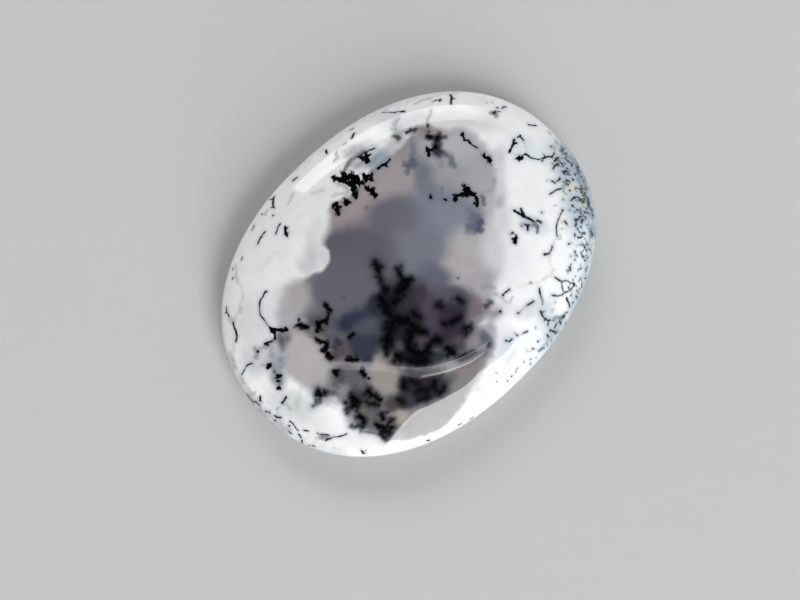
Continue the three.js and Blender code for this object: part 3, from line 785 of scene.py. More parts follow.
# %% Moss along the right
MOSS_RIGHT = [
    (0.1, (15.0, 11.55)), (0.1, (14.7, 11.3), (14.85, 11.35)), (0.07, (15.2, 11.2), (15.5, 10.8)),
    (0.06, (14.9, 11.0), (14.7, 10.8), (14.5, 10.45)), (0.1, (14.73, 10.8)), (0.06, (15.7, 11.5)),
    (0.06, (15.7, 11.0)), (0.06, (15.4, 10.2), (15.7, 10.2)), (0.06, (15.6, 9.95)),
    (0.07, (15.9, 10.5)), (0.08, (15.2, 9.5)), (0.1, (16.5, 9.4)), (0.07, (16.7, 9.9)),
    (0.07, (16.2, 9.15)), (0.06, (15.8, 8.9)), (0.06, (14.4, 9.25), (14.7, 9.05)),
    (0.06, (14.2, 7.95), (14.6, 8.2), (14.9, 8.4), (15.3, 8.5)), (0.07, (17.4, 8.3), (17.3, 8.05)),
    (0.06, (16.3, 7.3), (16.6, 7.6), (17.0, 7.65), (17.3, 7.4), (17.4, 7.05)), (0.08, (18.0, 7.25)),
    (0.07, (16.4, 6.8), (16.55, 6.7)), (0.07, (16.9, 6.4)), (0.09, (15.47, 6.35)),
    (0.04, (15.47, 6.35), (15.2, 5.8), (14.97, 5.2), (14.83, 4.7), (14.87, 3.9), (14.95, 3.7)),
    (0.06, (15.7, 5.25), (15.9, 4.9)), (0.07, (16.67, 5.3)), (0.06, (17.1, 5.65), (17.6, 5.8)),
    (0.07, (17.3, 4.65)), (0.07, (17.2, 4.1)), (0.06, (17.3, 3.6)), (0.06, (17.5, 2.9), (17.7, 2.6)),
    (0.06, (17.3, 2.1), (17.4, 1.9)), (0.06, (16.9, 1.8)), (0.07, (17.7, 1.3)),
    (0.12, (10.63, 6.3), (11.2, 5.92), (11.7, 5.65), (12.1, 5.5)), (0.07, (12.1, 5.5), (12.6, 5.2)),
    (0.1, (11.3, 6.45), (11.6, 5.85)), (0.08, (13.0, 5.3), (13.3, 5.1)), (0.08, (13.4, 6.1)),
    (0.06, (11.75, 4.9), (12.15, 4.85)), (0.1, (11.97, 4.8), (11.97, 4.35)), (0.06, (11.37, 4.75)),
    (0.1, (10.43, 4.05)), (0.09, (10.8, 3.85), (10.9, 3.5)),
    (0.2, (10.75, 3.5), (10.65, 3.25), (10.67, 3.1)), (0.06, (10.4, 3.5), (10.6, 3.4)),
    (0.1, (13.67, 1.9), (13.8, 1.93)), (0.07, (13.8, 1.93), (14.13, 2.0), (14.37, 2.45), (14.43, 2.7)),
    (0.06, (16.23, 0.65), (16.27, 0.3)), (0.05, (15.9, 0.3), (16.27, 0.35)), (0.07, (17.27, 0.5)),
    (0.06, (17.8, 0.4)),
    (0.05, (14.7, -0.4), (15.07, -0.65), (15.4, -0.8), (15.7, -0.7), (16.0, -0.75), (16.2, -0.95)),
    (0.08, (15.07, -0.65)),
    (0.05, (16.2, -0.95), (16.67, -1.0), (16.6, -1.25), (16.3, -1.55), (16.0, -1.8)),
    (0.09, (16.6, -1.2)),
    (0.05, (16.0, -1.8), (15.67, -1.9), (15.4, -2.15), (15.0, -2.25), (14.7, -2.2)),
    (0.08, (14.67, -2.2)), (0.04, (15.4, -0.9), (15.4, -1.3), (15.5, -1.7)),
    (0.06, (17.4, -0.95), (17.37, -1.35)), (0.07, (16.87, -1.7)), (0.06, (16.8, -2.3), (16.93, -2.4)),
    (0.06, (16.5, -2.9)), (0.06, (15.97, -2.75), (16.07, -2.95), (16.17, -3.4)), (0.06, (15.9, -3.9)),
    (0.06, (13.13, -1.5), (13.17, -1.9), (13.3, -2.3)), (0.08, (13.17, -1.85)),
    (0.06, (13.27, -3.8), (13.37, -4.1), (13.5, -4.3), (13.8, -4.55), (14.0, -4.75), (14.2, -4.65)),
    (0.06, (13.6, -3.8)), (0.06, (14.0, -5.1)), (0.06, (14.87, -4.95), (14.67, -5.4)),
    (0.06, (14.2, -5.7), (14.9, -5.9)), (0.06, (13.93, -6.15)), (0.06, (13.0, -6.8)),
    (0.06, (13.1, -7.75), (13.4, -7.5)), (0.06, (12.27, -8.55)), (0.1, (10.1, -1.6)),
    (0.06, (10.1, -1.6), (9.87, -1.8), (9.5, -2.15)), (0.1, (9.5, -2.15)), (0.08, (9.23, -3.8)),
    (0.1, (11.0, -3.95)), (0.06, (11.57, -5.95), (11.9, -5.8)), (0.06, (10.9, -6.2)),
    (0.07, (9.8, -6.7)), (0.06, (10.1, -6.8), (10.4, -6.55)), (0.07, (12.0, -3.15), (12.55, -2.8)),
    (0.06, (8.8, -9.95)), (0.05, (8.9, -10.8)), (0.06, (9.95, -10.75)),
    (0.04, (10.75, -9.95), (10.95, -9.45)), (0.04, (11.65, -8.9)), (0.05, (14.4, -5.75), (14.8, -6.0)),
    (0.06, (15.15, -4.75), (15.25, -5.0)), (0.05, (15.75, -4.9), (15.7, -5.2)),
]
print(f"{len(MOSS_RIGHT)} strokes along the right")

# %% Moss on the left and at the bottom
MOSS_LEFT = [
    (0.06, (-18.17, -3.3), (-18.13, -3.8), (-17.9, -4.3)), (0.05, (-18.13, -3.85), (-18.27, -3.95)),
    (0.09, (-17.47, -4.95), (-17.4, -5.35), (-17.2, -5.8), (-17.1, -6.3), (-17.2, -6.8)),
    (0.06, (-14.3, -1.8), (-14.5, -2.3), (-14.77, -2.65), (-14.83, -3.0), (-14.83, -3.6)),
    (0.07, (-14.3, -1.85), (-14.1, -1.8)), (0.05, (-14.83, -3.6), (-14.77, -4.2), (-14.4, -4.6)),
    (0.03, (-14.4, -4.6), (-14.1, -5.1), (-13.8, -5.4)),
    (0.15, (-13.75, -5.5), (-13.5, -5.62), (-13.0, -5.65), (-12.3, -5.65), (-12.05, -5.6)),
    (0.12, (-13.45, -5.7), (-13.3, -6.1), (-13.3, -6.5)), (0.13, (-14.27, -7.05), (-13.95, -6.88)),
    (0.09, (-13.95, -6.88), (-13.6, -6.8)), (0.12, (-15.0, -7.8)),
    (0.05, (-15.5, -8.95), (-16.07, -9.15), (-16.3, -9.5), (-16.5, -9.9)), (0.1, (-16.6, -10.05)),
    (0.16, (-14.05, -9.38), (-13.75, -9.22)), (0.05, (-13.4, -9.8)),
    (0.14, (-13.1, -10.38), (-12.7, -10.17)), (0.1, (-13.1, -10.75), (-12.87, -10.8)),
    (0.13, (-12.95, -11.38), (-12.77, -11.55)), (0.12, (-13.07, -11.6)),
    (0.11, (-14.77, -12.3), (-14.8, -12.7)), (0.1, (-12.2, -12.35), (-12.4, -12.7), (-12.6, -12.95)),
    (0.07, (-16.07, -12.15), (-15.8, -12.5), (-15.47, -12.9)), (0.07, (-15.27, -12.8), (-14.9, -13.15)),
    (0.09, (-14.2, -13.8)), (0.09, (-13.87, -13.9)),
    (0.08, (-13.3, -14.25), (-13.1, -14.4), (-12.7, -14.4)), (0.09, (-13.27, -14.7)),
    (0.07, (-11.8, -14.8), (-11.5, -15.0), (-11.4, -15.2), (-11.2, -15.5), (-11.0, -15.7)),
    (0.09, (-11.87, -15.25)), (0.08, (-11.9, -15.75), (-11.7, -16.0)),
    (0.08, (-10.4, -15.7), (-10.0, -15.75)), (0.08, (-10.9, -16.1), (-10.7, -16.4)),
    (0.07, (-10.6, -16.7), (-10.6, -16.95)), (0.09, (-9.87, -17.2)),
    (0.09, (-9.5, -17.25), (-9.4, -17.28)),
    (0.05, (-9.05, -15.95), (-8.8, -16.1), (-8.3, -16.1), (-7.95, -16.15)),
    (0.06, (-7.4, -16.35), (-6.9, -16.3), (-6.5, -16.2), (-6.1, -16.0)),
    (0.09, (-8.25, -16.7), (-8.0, -16.55)), (0.08, (-8.0, -16.55), (-7.7, -16.5)),
    (0.07, (-4.7, -17.7), (-4.45, -17.88)), (0.09, (-4.5, -18.0), (-4.2, -17.95)),
    (0.06, (-4.2, -17.7)), (0.1, (1.95, -16.7), (2.15, -16.68)), (0.08, (5.0, -15.2), (5.3, -15.0)),
    (0.06, (6.2, -14.6), (6.5, -14.35)),
]
print(f"{len(MOSS_LEFT)} strokes on the left and at the bottom")

# %% The moss deep in the window
MOSS_MIDDLE = [
    (0.24, (-3.25, 1.1), (-3.1, 0.7), (-2.95, 0.3)), (0.14, (-2.95, 0.3), (-2.8, -0.2), (-2.75, -0.9)),
    (0.18, (-2.45, -1.35), (-2.3, -1.75)), (0.26, (-2.75, -2.4), (-2.5, -2.8), (-2.35, -3.3)),
    (0.23, (-2.3, -3.5), (-2.1, -3.9), (-1.75, -4.15)), (0.15, (-1.15, 0.5), (-0.95, 0.15)),
    (0.22, (-0.85, 0.0), (-0.6, -0.4)), (0.36, (-0.4, -0.65), (-0.05, -0.75)),
    (0.15, (0.1, -0.6), (0.45, -0.65)), (0.36, (-0.2, -1.1), (-0.5, -1.5)),
    (0.27, (-0.75, -1.75), (-1.1, -1.85)), (0.23, (-1.05, -2.6), (-1.4, -2.9)),
    (0.12, (0.45, -3.85), (0.65, -4.15), (1.15, -4.35)),
    (0.32, (-1.2, -4.6), (-0.6, -4.7), (-0.1, -4.75)),
    (0.23, (-1.6, -4.9), (-1.8, -5.5), (-1.95, -6.1)),
    (0.3, (-2.0, -6.4), (-2.15, -7.0), (-2.15, -7.5)), (0.18, (-2.15, -7.7), (-2.1, -8.1)),
    (0.23, (0.3, -5.1), (0.65, -5.55), (1.1, -5.7), (1.6, -5.85)),
    (0.22, (0.45, -5.9), (0.2, -6.6), (0.05, -7.1)), (0.3, (0.05, -7.4), (0.5, -7.85), (1.2, -8.0)),
    (0.27, (1.5, -8.0), (2.0, -7.6), (2.2, -7.1)), (0.2, (2.45, -6.75), (2.85, -6.5), (3.2, -6.8)),
    (0.32, (4.0, -7.5), (4.5, -7.95)), (0.27, (-1.2, -8.15), (-0.75, -8.5)),
    (0.27, (0.2, -8.8), (1.0, -9.0), (1.7, -8.6)), (0.09, (5.4, -8.55), (6.1, -8.3), (6.7, -8.0)),
    (0.18, (3.0, -3.1), (3.3, -3.3)), (0.18, (5.0, -2.5), (5.25, -2.7), (5.45, -2.85)),
    (0.13, (3.75, -5.1), (4.0, -4.95)), (0.18, (4.4, -4.85), (4.8, -4.65), (5.05, -4.5)),
    (0.2, (5.85, -5.45), (6.1, -5.35), (6.25, -5.25)), (0.11, (5.9, -5.7), (5.85, -6.1)),
    (0.18, (-0.45, -10.7), (-0.35, -11.4)), (0.12, (0.3, -10.75), (0.9, -10.85)),
    (0.14, (1.0, -11.75), (2.0, -11.6)), (0.16, (2.7, -10.85), (2.5, -11.4)),
    (0.18, (3.6, -11.65), (3.2, -11.95)), (0.14, (-1.0, -12.6), (-0.4, -12.9)),
    (0.14, (1.0, -12.7), (1.9, -12.45)),
]
print(f"{len(MOSS_MIDDLE)} strokes deep in the window")

# %% The moss halfway down and at the window's lower end
# Halfway down, it lies along the window's upper, left and lower edge.
MOSS_HALFWAY = [
    (0.16, (1.95, 13.75), (2.3, 13.65)), (0.11, (2.95, 13.7), (2.85, 13.3)),
    (0.12, (2.75, 12.8), (2.65, 12.5)), (0.08, (-1.35, 13.75), (-0.95, 13.6)),
    (0.04, (-1.1, 13.6), (-0.95, 13.35)), (0.25, (-10.8, -5.15), (-10.3, -5.35)),
    (0.12, (-11.15, -5.25), (-9.95, -5.35)), (0.16, (-8.3, -3.2), (-8.05, -3.5), (-7.75, -3.7)),
    (0.14, (-8.0, -3.8), (-7.95, -4.15)), (0.17, (-8.15, -4.7), (-8.6, -4.85), (-9.0, -5.05)),
    (0.2, (-8.9, -5.1), (-9.0, -5.65)), (0.16, (-9.2, -6.55), (-8.7, -6.8), (-8.1, -6.95)),
    (0.25, (-8.15, -7.2), (-8.35, -7.65)), (0.22, (-8.1, -7.95), (-7.75, -8.45)),
    (0.15, (-5.45, -6.05), (-5.85, -6.45)), (0.2, (-6.1, -8.6), (-5.6, -8.55), (-5.15, -8.7)),
    (0.24, (-7.2, -9.85), (-7.1, -10.15)), (0.26, (-4.6, -9.8), (-4.35, -10.15)),
]

# At the window's lower end it lies deeper again.
MOSS_LOWER_END = [
    (0.29, (-8.95, -11.75), (-8.8, -12.15)), (0.13, (-8.4, -11.7), (-8.3, -12.1)),
    (0.09, (-9.2, -12.6), (-9.1, -12.95)), (0.07, (-8.8, -12.5), (-8.8, -12.9)),
    (0.06, (-9.1, -13.0), (-9.5, -13.25)), (0.22, (-4.0, -11.7), (-3.7, -12.05), (-3.35, -12.3)),
    (0.24, (-3.2, -12.5), (-2.85, -12.65)), (0.17, (-3.85, -13.05), (-3.3, -13.0), (-2.9, -13.15)),
    (0.26, (-5.6, -12.4), (-5.3, -12.6), (-5.0, -12.85)), (0.26, (-5.3, -13.1), (-5.6, -13.4)),
    (0.1, (-5.9, -13.3), (-6.2, -13.6)), (0.09, (-5.9, -13.7), (-6.1, -13.95)),
    (0.24, (-4.85, -14.3), (-4.5, -14.5)), (0.17, (-4.5, -14.7), (-4.35, -15.0)),
    (0.12, (-5.7, -15.3), (-5.3, -15.35)), (0.17, (-5.0, -15.2), (-4.5, -15.4)),
    (0.1, (-4.75, -15.5), (-4.65, -15.7)), (0.02, (-4.3, -15.8), (-3.4, -15.95), (-2.9, -16.05)),
    (0.21, (-2.6, -14.0), (-2.5, -14.6)), (0.26, (-3.1, -15.1), (-2.8, -15.4)),
    (0.34, (-2.5, -15.4), (-2.3, -15.8)), (0.17, (-2.8, -15.75), (-2.5, -16.0)),
    (0.17, (-1.95, -14.95), (-1.6, -14.6)), (0.26, (-1.75, -15.4), (-2.0, -16.0)),
    (0.09, (-2.15, -16.4), (-2.15, -16.7)), (0.24, (-2.65, -16.1), (-2.4, -16.4)),
]
print(f"{len(MOSS_HALFWAY)} strokes halfway down, {len(MOSS_LOWER_END)} at the lower end")

# %% [markdown]
# ## Specks, twigs, lumps and the moss on the back
#
# Along the right rim the moss breaks up into a dust of specks, far too many to draw one by one, so
# a seeded random draw places them, densest where the stone's own are. Thick crisp strokes also get
# short twigs, which give moss its torn edge. Deep moss looks clotted, so it gets round lumps
# instead. The back isn't in the drawing. Its moss is grown by a small rule: walk on, turn a
# little, and now and then send out a thinner branch. Each draw has its own seed, so that the stone
# comes out the same every time.

# %% Specks along the right rim
RIM_TURN = math.radians(42.7)
SPECKS = 200
SPECK_ANGLES = (-46, 42)
SPECK_DEPTHS = (0.15, 2.9)
CROWD_ANGLE = 20
CROWD_SPREAD = 21
CROWD_DEPTH = 1.8
RIM_DEPTH = 0.8
RIM_SHARE = 0.12
SPECK_HALF_LENGTHS = (0.0, 0.0, 0.0, 0.05, 0.1)
SPECK_HALF_WIDTHS = (0.01, 0.015, 0.025, 0.035, 0.05, 0.08)
specks_drawn = random.Random(7)


def rim_radius(angle):
    """Distance from the centre of the drawing to the stone's outline, at a drawn angle."""
    c = abs(math.cos(angle - RIM_TURN)) / (LENGTH / 2)
    s = abs(math.sin(angle - RIM_TURN)) / (WIDTH / 2)
    return (c**OUTLINE_POWER + s**OUTLINE_POWER) ** (-1 / OUTLINE_POWER)


moss_specks = []
while len(moss_specks) < SPECKS:
    turn = specks_drawn.uniform(*SPECK_ANGLES)
    angle = math.radians(turn)
    depth = specks_drawn.uniform(*SPECK_DEPTHS)
    off_crowd = (turn - CROWD_ANGLE) / CROWD_SPREAD
    crowding = math.exp(-(off_crowd**2)) * math.exp(-((depth / CROWD_DEPTH) ** 2))
    near_rim = math.exp(-((depth / RIM_DEPTH) ** 2))
    if specks_drawn.random() > crowding + RIM_SHARE * near_rim:
        continue
    radius = rim_radius(angle) - depth
    x, y = radius * math.cos(angle), radius * math.sin(angle)
    heading = specks_drawn.uniform(0, math.pi)
    half_length = specks_drawn.choice(SPECK_HALF_LENGTHS)
    half_width = specks_drawn.choice(SPECK_HALF_WIDTHS)
    dx, dy = half_length * math.cos(heading), half_length * math.sin(heading)
    moss_specks.append((half_width, (x - dx, y - dy), (x + dx, y + dy)))
print(f"{len(moss_specks)} specks")

# %% Twigs on thick strokes
THICK_ENOUGH = 0.13
TWIG_GAP = 0.26
TWIG_HALF_WIDTH = (0.035, 0.07)
TWIG_REACH = (1.15, 2.3)
twigs_drawn = random.Random(21)


def twigs(strokes):
    """Short side shoots for every thick stroke of a list."""
    shoots = []
    for half_width, *line in strokes:
        if half_width < THICK_ENOUGH:
            continue
        ends = line if len(line) > 1 else line * 2
        for (ax, ay), (bx, by) in zip(ends, ends[1:]):
            count = 1 + int(math.hypot(bx - ax, by - ay) / TWIG_GAP)
            for _ in range(2 * count):
                t = twigs_drawn.random()
                heading = twigs_drawn.uniform(0, 2 * math.pi)
                reach = half_width * twigs_drawn.uniform(*TWIG_REACH)
                x, y = ax + (bx - ax) * t, ay + (by - ay) * t
                tip = (x + reach * math.cos(heading), y + reach * math.sin(heading))
                shoots.append((twigs_drawn.uniform(*TWIG_HALF_WIDTH), (x, y), tip))
    return shoots


print(f"crisp strokes at least {2 * THICK_ENOUGH:.2f} mm wide get twigs")

# %% Lumps on the deep moss
LUMP_GAP = 0.11
LUMP_SHARE = (0.35, 0.8)
LUMP_STRAY = 0.9
PAST_THE_END = 0.1
lumps_drawn = random.Random(3)


def lumps(strokes):
    """Small round lumps strewn along a stroke, so that it doesn't look like a drawn line."""
    strewn = []
    for half_width, *line in strokes:
        ends = line if len(line) > 1 else line * 2
        for (ax, ay), (bx, by) in zip(ends, ends[1:]):
            for _ in range(2 + int(math.hypot(bx - ax, by - ay) / LUMP_GAP)):
                t = lumps_drawn.uniform(-PAST_THE_END, 1 + PAST_THE_END)
                x = ax + (bx - ax) * t + lumps_drawn.gauss(0, half_width * LUMP_STRAY)
                y = ay + (by - ay) * t + lumps_drawn.gauss(0, half_width * LUMP_STRAY)
                strewn.append((half_width * lumps_drawn.uniform(*LUMP_SHARE), (x, y)))
    return strewn


print(f"deep strokes get a lump about every {LUMP_GAP} mm")

# %% Moss that grows on the back
# A seed is its place on the back, how many stems it sends out, their reach and half width.
BACK_SEEDS = [
    (-2.0, 1.5, 7, 4.0, 0.22), (2.5, -2.0, 6, 3.4, 0.2), (-6.0, -3.0, 5, 2.6, 0.16),
    (6.5, 3.5, 5, 2.2, 0.14), (-10.5, 3.0, 4, 2.0, 0.12), (11.0, -4.0, 5, 2.4, 0.12),
    (-14.0, -2.5, 4, 1.6, 0.1), (14.5, 2.5, 6, 1.8, 0.09), (0.5, 8.5, 4, 2.2, 0.12),
    (-4.0, 11.0, 3, 1.4, 0.1), (5.0, -10.5, 4, 1.8, 0.1), (17.0, -1.5, 5, 1.4, 0.08),
    (-17.0, 3.0, 3, 1.2, 0.08), (-8.5, -10.0, 4, 1.8, 0.1), (10.0, 9.0, 4, 1.6, 0.09),
]
WALK = 0.28
WANDER = 0.42
BRANCH_CHANCE = 0.42
BRANCH_TURN = (0.6, 1.2)
BRANCH_REACH = 0.45
BRANCH_HALF_WIDTH = 0.72
THINNEST_HALF_WIDTH = 0.045
STEM_REACH = (0.6, 1.1)
BACK_SPECKS = 140
BACK_SPECK_SPREAD = 0.09
BACK_SPECK_HALF_WIDTH = (0.04, 0.1)
back_drawn = random.Random(5)


def grow(x, y, heading, reach, half_width, strokes):
    """One stem of moss and its branches."""
    line = [(x, y)]
    for _ in range(int(reach / WALK)):
        heading += back_drawn.gauss(0, WANDER)
        x += WALK * math.cos(heading)
        y += WALK * math.sin(heading)
        line.append((x, y))
        if reach > 3 * WALK and back_drawn.random() < BRANCH_CHANCE:
            side = back_drawn.choice((-1, 1)) * back_drawn.uniform(*BRANCH_TURN)
            thinner = half_width * BRANCH_HALF_WIDTH
            grow(x, y, heading + side, reach * BRANCH_REACH, thinner, strokes)
    strokes.append((max(half_width, THINNEST_HALF_WIDTH), *line))


moss_back = []
for x, y, stems, reach, half_width in BACK_SEEDS:
    for _ in range(stems):
        heading = back_drawn.uniform(0, 2 * math.pi)
        grow(x, y, heading, reach * back_drawn.uniform(*STEM_REACH), half_width, moss_back)
for _ in range(BACK_SPECKS):
    angle = back_drawn.uniform(0, 2 * math.pi)
    share = 1 - abs(back_drawn.gauss(0, BACK_SPECK_SPREAD))
    x, y = LENGTH / 2 * share * math.cos(angle), WIDTH / 2 * share * math.sin(angle)
    moss_back.append((back_drawn.uniform(*BACK_SPECK_HALF_WIDTH), (x, y)))
print(f"{len(moss_back)} strokes of moss on the back")

# %% [markdown]
# ## How near is the moss?
#
# A vertex every 0.17 mm is too coarse to hold a crisp black line as a colour. So each vertex holds
# the way to the nearest stroke instead, as a vector. Between vertices a vector to a straight line
# blends exactly, so the shader can draw an edge far finer than the mesh. Halfway between two
# strokes the vectors point opposite ways and would cancel to a false line. The plain distance is
# stored as well, and the shader uses that one from about a vertex spacing away.

# %% Lay strokes on the dome and on the back
def back_height(share):
    """Height of the rounded back at a share of the outline."""
    out = np.clip((share - FLAT_SHARE) / (1 - FLAT_SHARE), 0, 1)
    return GIRDLE_LOW * (1 - np.sqrt(1 - out**2))


def drop(flat_points):
    """Places seen from above to points on the back of the stone."""
    flat_points = np.asarray(flat_points, float)
    share = share_at(flat_points[:, 0], flat_points[:, 1])
    shrink = np.minimum(1, 1 / np.maximum(share, NOT_ZERO))
    place = flat_points * shrink[:, None]
    return np.column_stack([place, back_height(share * shrink)])


def pieces_of(strokes, soft, lay):
    """Strokes to straight pieces: start, end, half width and softness, laid on the stone."""
    pieces = []
    for half_width, *line in strokes:
        laid = lay(line if len(line) > 1 else line * 2)
        for a, b in zip(laid, laid[1:]):
            pieces.append((a, b, half_width, soft))
    return pieces


# How soft the moss looks, in millimetres, from the surface down.
CRISP = 0.06
FLECK = 0.12
HALFWAY = 0.2
DEEPER = 0.4
DEEP = 0.48

crisp_moss = MOSS_UPPER_LEFT + MOSS_TOP + MOSS_LEFT
top_pieces = pieces_of(crisp_moss + twigs(crisp_moss), CRISP, cast)
top_pieces += pieces_of(MOSS_RIGHT + moss_specks, FLECK, cast)
top_pieces += pieces_of(MOSS_HALFWAY + lumps(MOSS_HALFWAY), HALFWAY, cast)
top_pieces += pieces_of(MOSS_LOWER_END + lumps(MOSS_LOWER_END), DEEPER, cast)
top_pieces += pieces_of(MOSS_MIDDLE + lumps(MOSS_MIDDLE), DEEP, cast)
back_pieces = pieces_of(moss_back + twigs(moss_back), CRISP, drop)
print(f"{len(top_pieces)} pieces of moss on the dome, {len(back_pieces)} on the back")


# %% The way to the nearest stroke
def nearest_moss(places, pieces):
    """For each place: the way to the nearest piece, its half width and its softness."""
    way = np.zeros((len(places), 3))
    depth = np.full(len(places), np.inf)
    half_widths = np.zeros(len(places))
    softs = np.zeros(len(places))
    for a, b, half_width, soft in pieces:
        step = b - a
        t = np.clip((places - a) @ step / max(step @ step, NOT_ZERO), 0, 1)
        to_piece = a + t[:, None] * step - places
        beyond = np.sqrt((to_piece**2).sum(1)) - half_width
        closer = beyond < depth
        depth[closer] = beyond[closer]
        way[closer] = to_piece[closer]
        half_widths[closer] = half_width
        softs[closer] = soft
    return way, half_widths, softs


on_back = points[:, 2] < GIRDLE_LOW
way = np.zeros((len(points), 3))
half_widths = np.zeros(len(points))
softs = np.zeros(len(points))
way[~on_back], half_widths[~on_back], softs[~on_back] = nearest_moss(points[~on_back], top_pieces)
way[on_back], half_widths[on_back], softs[on_back] = nearest_moss(points[on_back], back_pieces)
moss_distance = np.linalg.norm(way, axis=1)
print(f"moss covers {(moss_distance < half_widths).mean():.1%} of the vertices")

# %% [markdown]
# ## The thin edge and the milky back
#
# Where the stone runs out thin at the girdle there is little milk behind the surface, and it turns
# a clear blue grey. Light that truly passes through the edge would show this too, at the cost of a
# much slower picture, and a tint looks the same from every side. The back is the same stone from
# below, with a little more milk in it.

# %% Tint the edge and the back
EDGE_BLUE = tone(142, 160, 174)
EDGE_FROM, EDGE_FULL, EDGE_FULL_UP_TO, EDGE_TOP = 0.9, GIRDLE_LOW, GIRDLE_HIGH - 0.2, 3.0
# The edge is bluest to the upper right of the drawing, where the tint adds painted shade to the rim.
EDGE_SHADE_WAY = (0.55, 0.83)
EDGE_SHADE_BY = 0.35
EDGE_SHADE_WITHIN = 0.6
EDGE_COVER = 0.6
BACK_MILK = 0.35
BACK_MILK_UP_TO = 0.3

height = points[:, 2]
edge_mask = (1 - ease(EDGE_FULL_UP_TO, EDGE_TOP, height)) * ease(EDGE_FROM, EDGE_FULL, height)
towards_edge_shade = points_drawn @ np.array(EDGE_SHADE_WAY) / (LENGTH / 2)
edge_mask *= EDGE_COVER + EDGE_SHADE_BY * ease(-EDGE_SHADE_WITHIN, EDGE_SHADE_WITHIN, towards_edge_shade)
paint(ground, EDGE_BLUE, edge_mask)
paint(ground, MILK, (1 - ease(BACK_MILK_UP_TO, GIRDLE_LOW, height)) * BACK_MILK)
print(f"the edge tint covers up to {edge_mask.max():.0%}")

# %% [markdown]
# ## The mesh and its polish
#
# A stone polished by hand is never quite even. Three slow waves sink the dome by a hundredth of a
# millimetre here and there, which bends the reflections a little and keeps the stone within its
# packed size. The painting goes on to the mesh as named attributes, one value for each vertex,
# because a material can read those and no picture file is needed.

# %% Make the mesh and hand it the painting
POLISH_WAVE = 0.012
WAVE_FADE = 1.0
# Each wave: how fast it turns along the stone and across it, in radians per mm, and its start.
WAVES = [(0.71, 0.0, 0.4), (0.0, 0.93, 1.3), (0.57, 0.57, 0.0)]

wave = sum(
    np.sin(points[:, 0] * along + points[:, 1] * across + start)
    for along, across, start in WAVES
)
# The waves add up to between minus and plus their number, so this goes from 0 to 1.
share_sunk = 0.5 + wave / (2 * len(WAVES))
sunk = POLISH_WAVE * share_sunk * ease(GIRDLE_HIGH, GIRDLE_HIGH + WAVE_FADE, height)
shaped = points.copy()
shaped[:, 2] -= sunk
mesh = bpy.data.meshes.new("polished_opal")
mesh.from_pydata((shaped * MM).tolist(), [], faces)
mesh.validate()
mesh.shade_smooth()
opal = bpy.data.objects.new("polished_opal", mesh)
bpy.context.scene.collection.objects.link(opal)


def hand_over(name, kind, field, values):
    """Stores a value for each vertex under a name that the material can read."""
    attribute = mesh.attributes.new(name, kind, "POINT")
    attribute.data.foreach_set(field, np.asarray(values, np.float32).ravel())


hand_over("ground", "FLOAT_COLOR", "color", np.column_stack([ground, np.ones(len(ground))]))
hand_over("way_to_moss", "FLOAT_VECTOR", "vector", way)
hand_over("moss_distance", "FLOAT", "value", moss_distance)
hand_over("moss_half_width", "FLOAT", "value", half_widths)
hand_over("moss_softness", "FLOAT", "value", softs)
triangles = sum(len(face) - 2 for face in faces)
print(f"the opal has {triangles} triangles")

# %% [markdown]
# ## The opal's material
#
# Common opal is a glassy solid with a low index of refraction, 1.45, so it reflects only a little
# when looked at squarely and more along its edges. It is polished until it is nearly a mirror. Its
# depth could be a volume that scatters light, but that is slow and would blur the moss, so the
# depth is painted and only the polish is left to the light. The colour comes from the painted
# ground with a faint mottle, from the blue halo that milk shows around moss, and from the moss
# itself, whose edge the shader draws from the stored vectors and roughens with fine noise.

# %% Small helpers for nodes
material = bpy.data.materials.new("polished dendritic opal")
material.use_nodes = True
nodes = material.node_tree.nodes
links = material.node_tree.links
nodes.clear()


def add(kind, inputs=(), **settings):
    """A node with its settings. Inputs are values, or sockets to link from."""
    node = nodes.new(kind)
    for name, value in settings.items():
        setattr(node, name, value)
    for key, value in dict(inputs).items():
        if isinstance(value, bpy.types.NodeSocket):
            links.new(value, node.inputs[key])
        else:
            node.inputs[key].default_value = value
    return node


def do_math(operation, a, b=0.0, c=0.0):
    """One Math node."""
    return add("ShaderNodeMath", {0: a, 1: b, 2: c}, operation=operation).outputs[0]


def stored(name, output):
    """Reads a value that the mesh stores for each vertex."""
    return add("ShaderNodeAttribute", attribute_name=name).outputs[output]


object_place = add("ShaderNodeTexCoord").outputs["Object"]


def noise_texture(size_mm, detail):
    """Noise whose lumps are about size_mm across."""
    inputs = {"Vector": object_place, "Scale": 1 / (size_mm * MM), "Detail": detail}
    return add("ShaderNodeTexNoise", inputs).outputs["Fac"]


print("the material is called", material.name)

# %% The moss mask
VECTOR_UP_TO = 0.12
DISTANCE_FROM = 0.22
TORN_LUMPS = 0.4
TORN_SPREAD = 1.3
RAGGED = 0.8
RAGGED_AT_LEAST = 0.03
SMOOTHER_WHEN_DEEP = 1.0
INNER_EDGE = -0.5

straight = add("ShaderNodeVectorMath", {0: stored("way_to_moss", "Vector")}, operation="LENGTH")
plain = stored("moss_distance", "Fac")
far_enough = add(
    "ShaderNodeMapRange",
    {"Value": plain, "From Min": VECTOR_UP_TO, "From Max": DISTANCE_FROM},
    interpolation_type="SMOOTHSTEP",
).outputs["Result"]
excess = do_math("SUBTRACT", plain, straight.outputs["Value"])
# How far the place is from the middle line of the nearest stroke.
gap = do_math("MULTIPLY_ADD", excess, far_enough, straight.outputs["Value"])
moss_width = stored("moss_half_width", "Fac")
moss_soft = stored("moss_softness", "Fac")
torn = do_math("MULTIPLY_ADD", noise_texture(TORN_LUMPS, detail=3.0), 2 * TORN_SPREAD, -TORN_SPREAD)
ragged = do_math("MULTIPLY_ADD", moss_soft, -SMOOTHER_WHEN_DEEP, RAGGED)
allowance = do_math("MULTIPLY_ADD", moss_width, ragged, RAGGED_AT_LEAST)
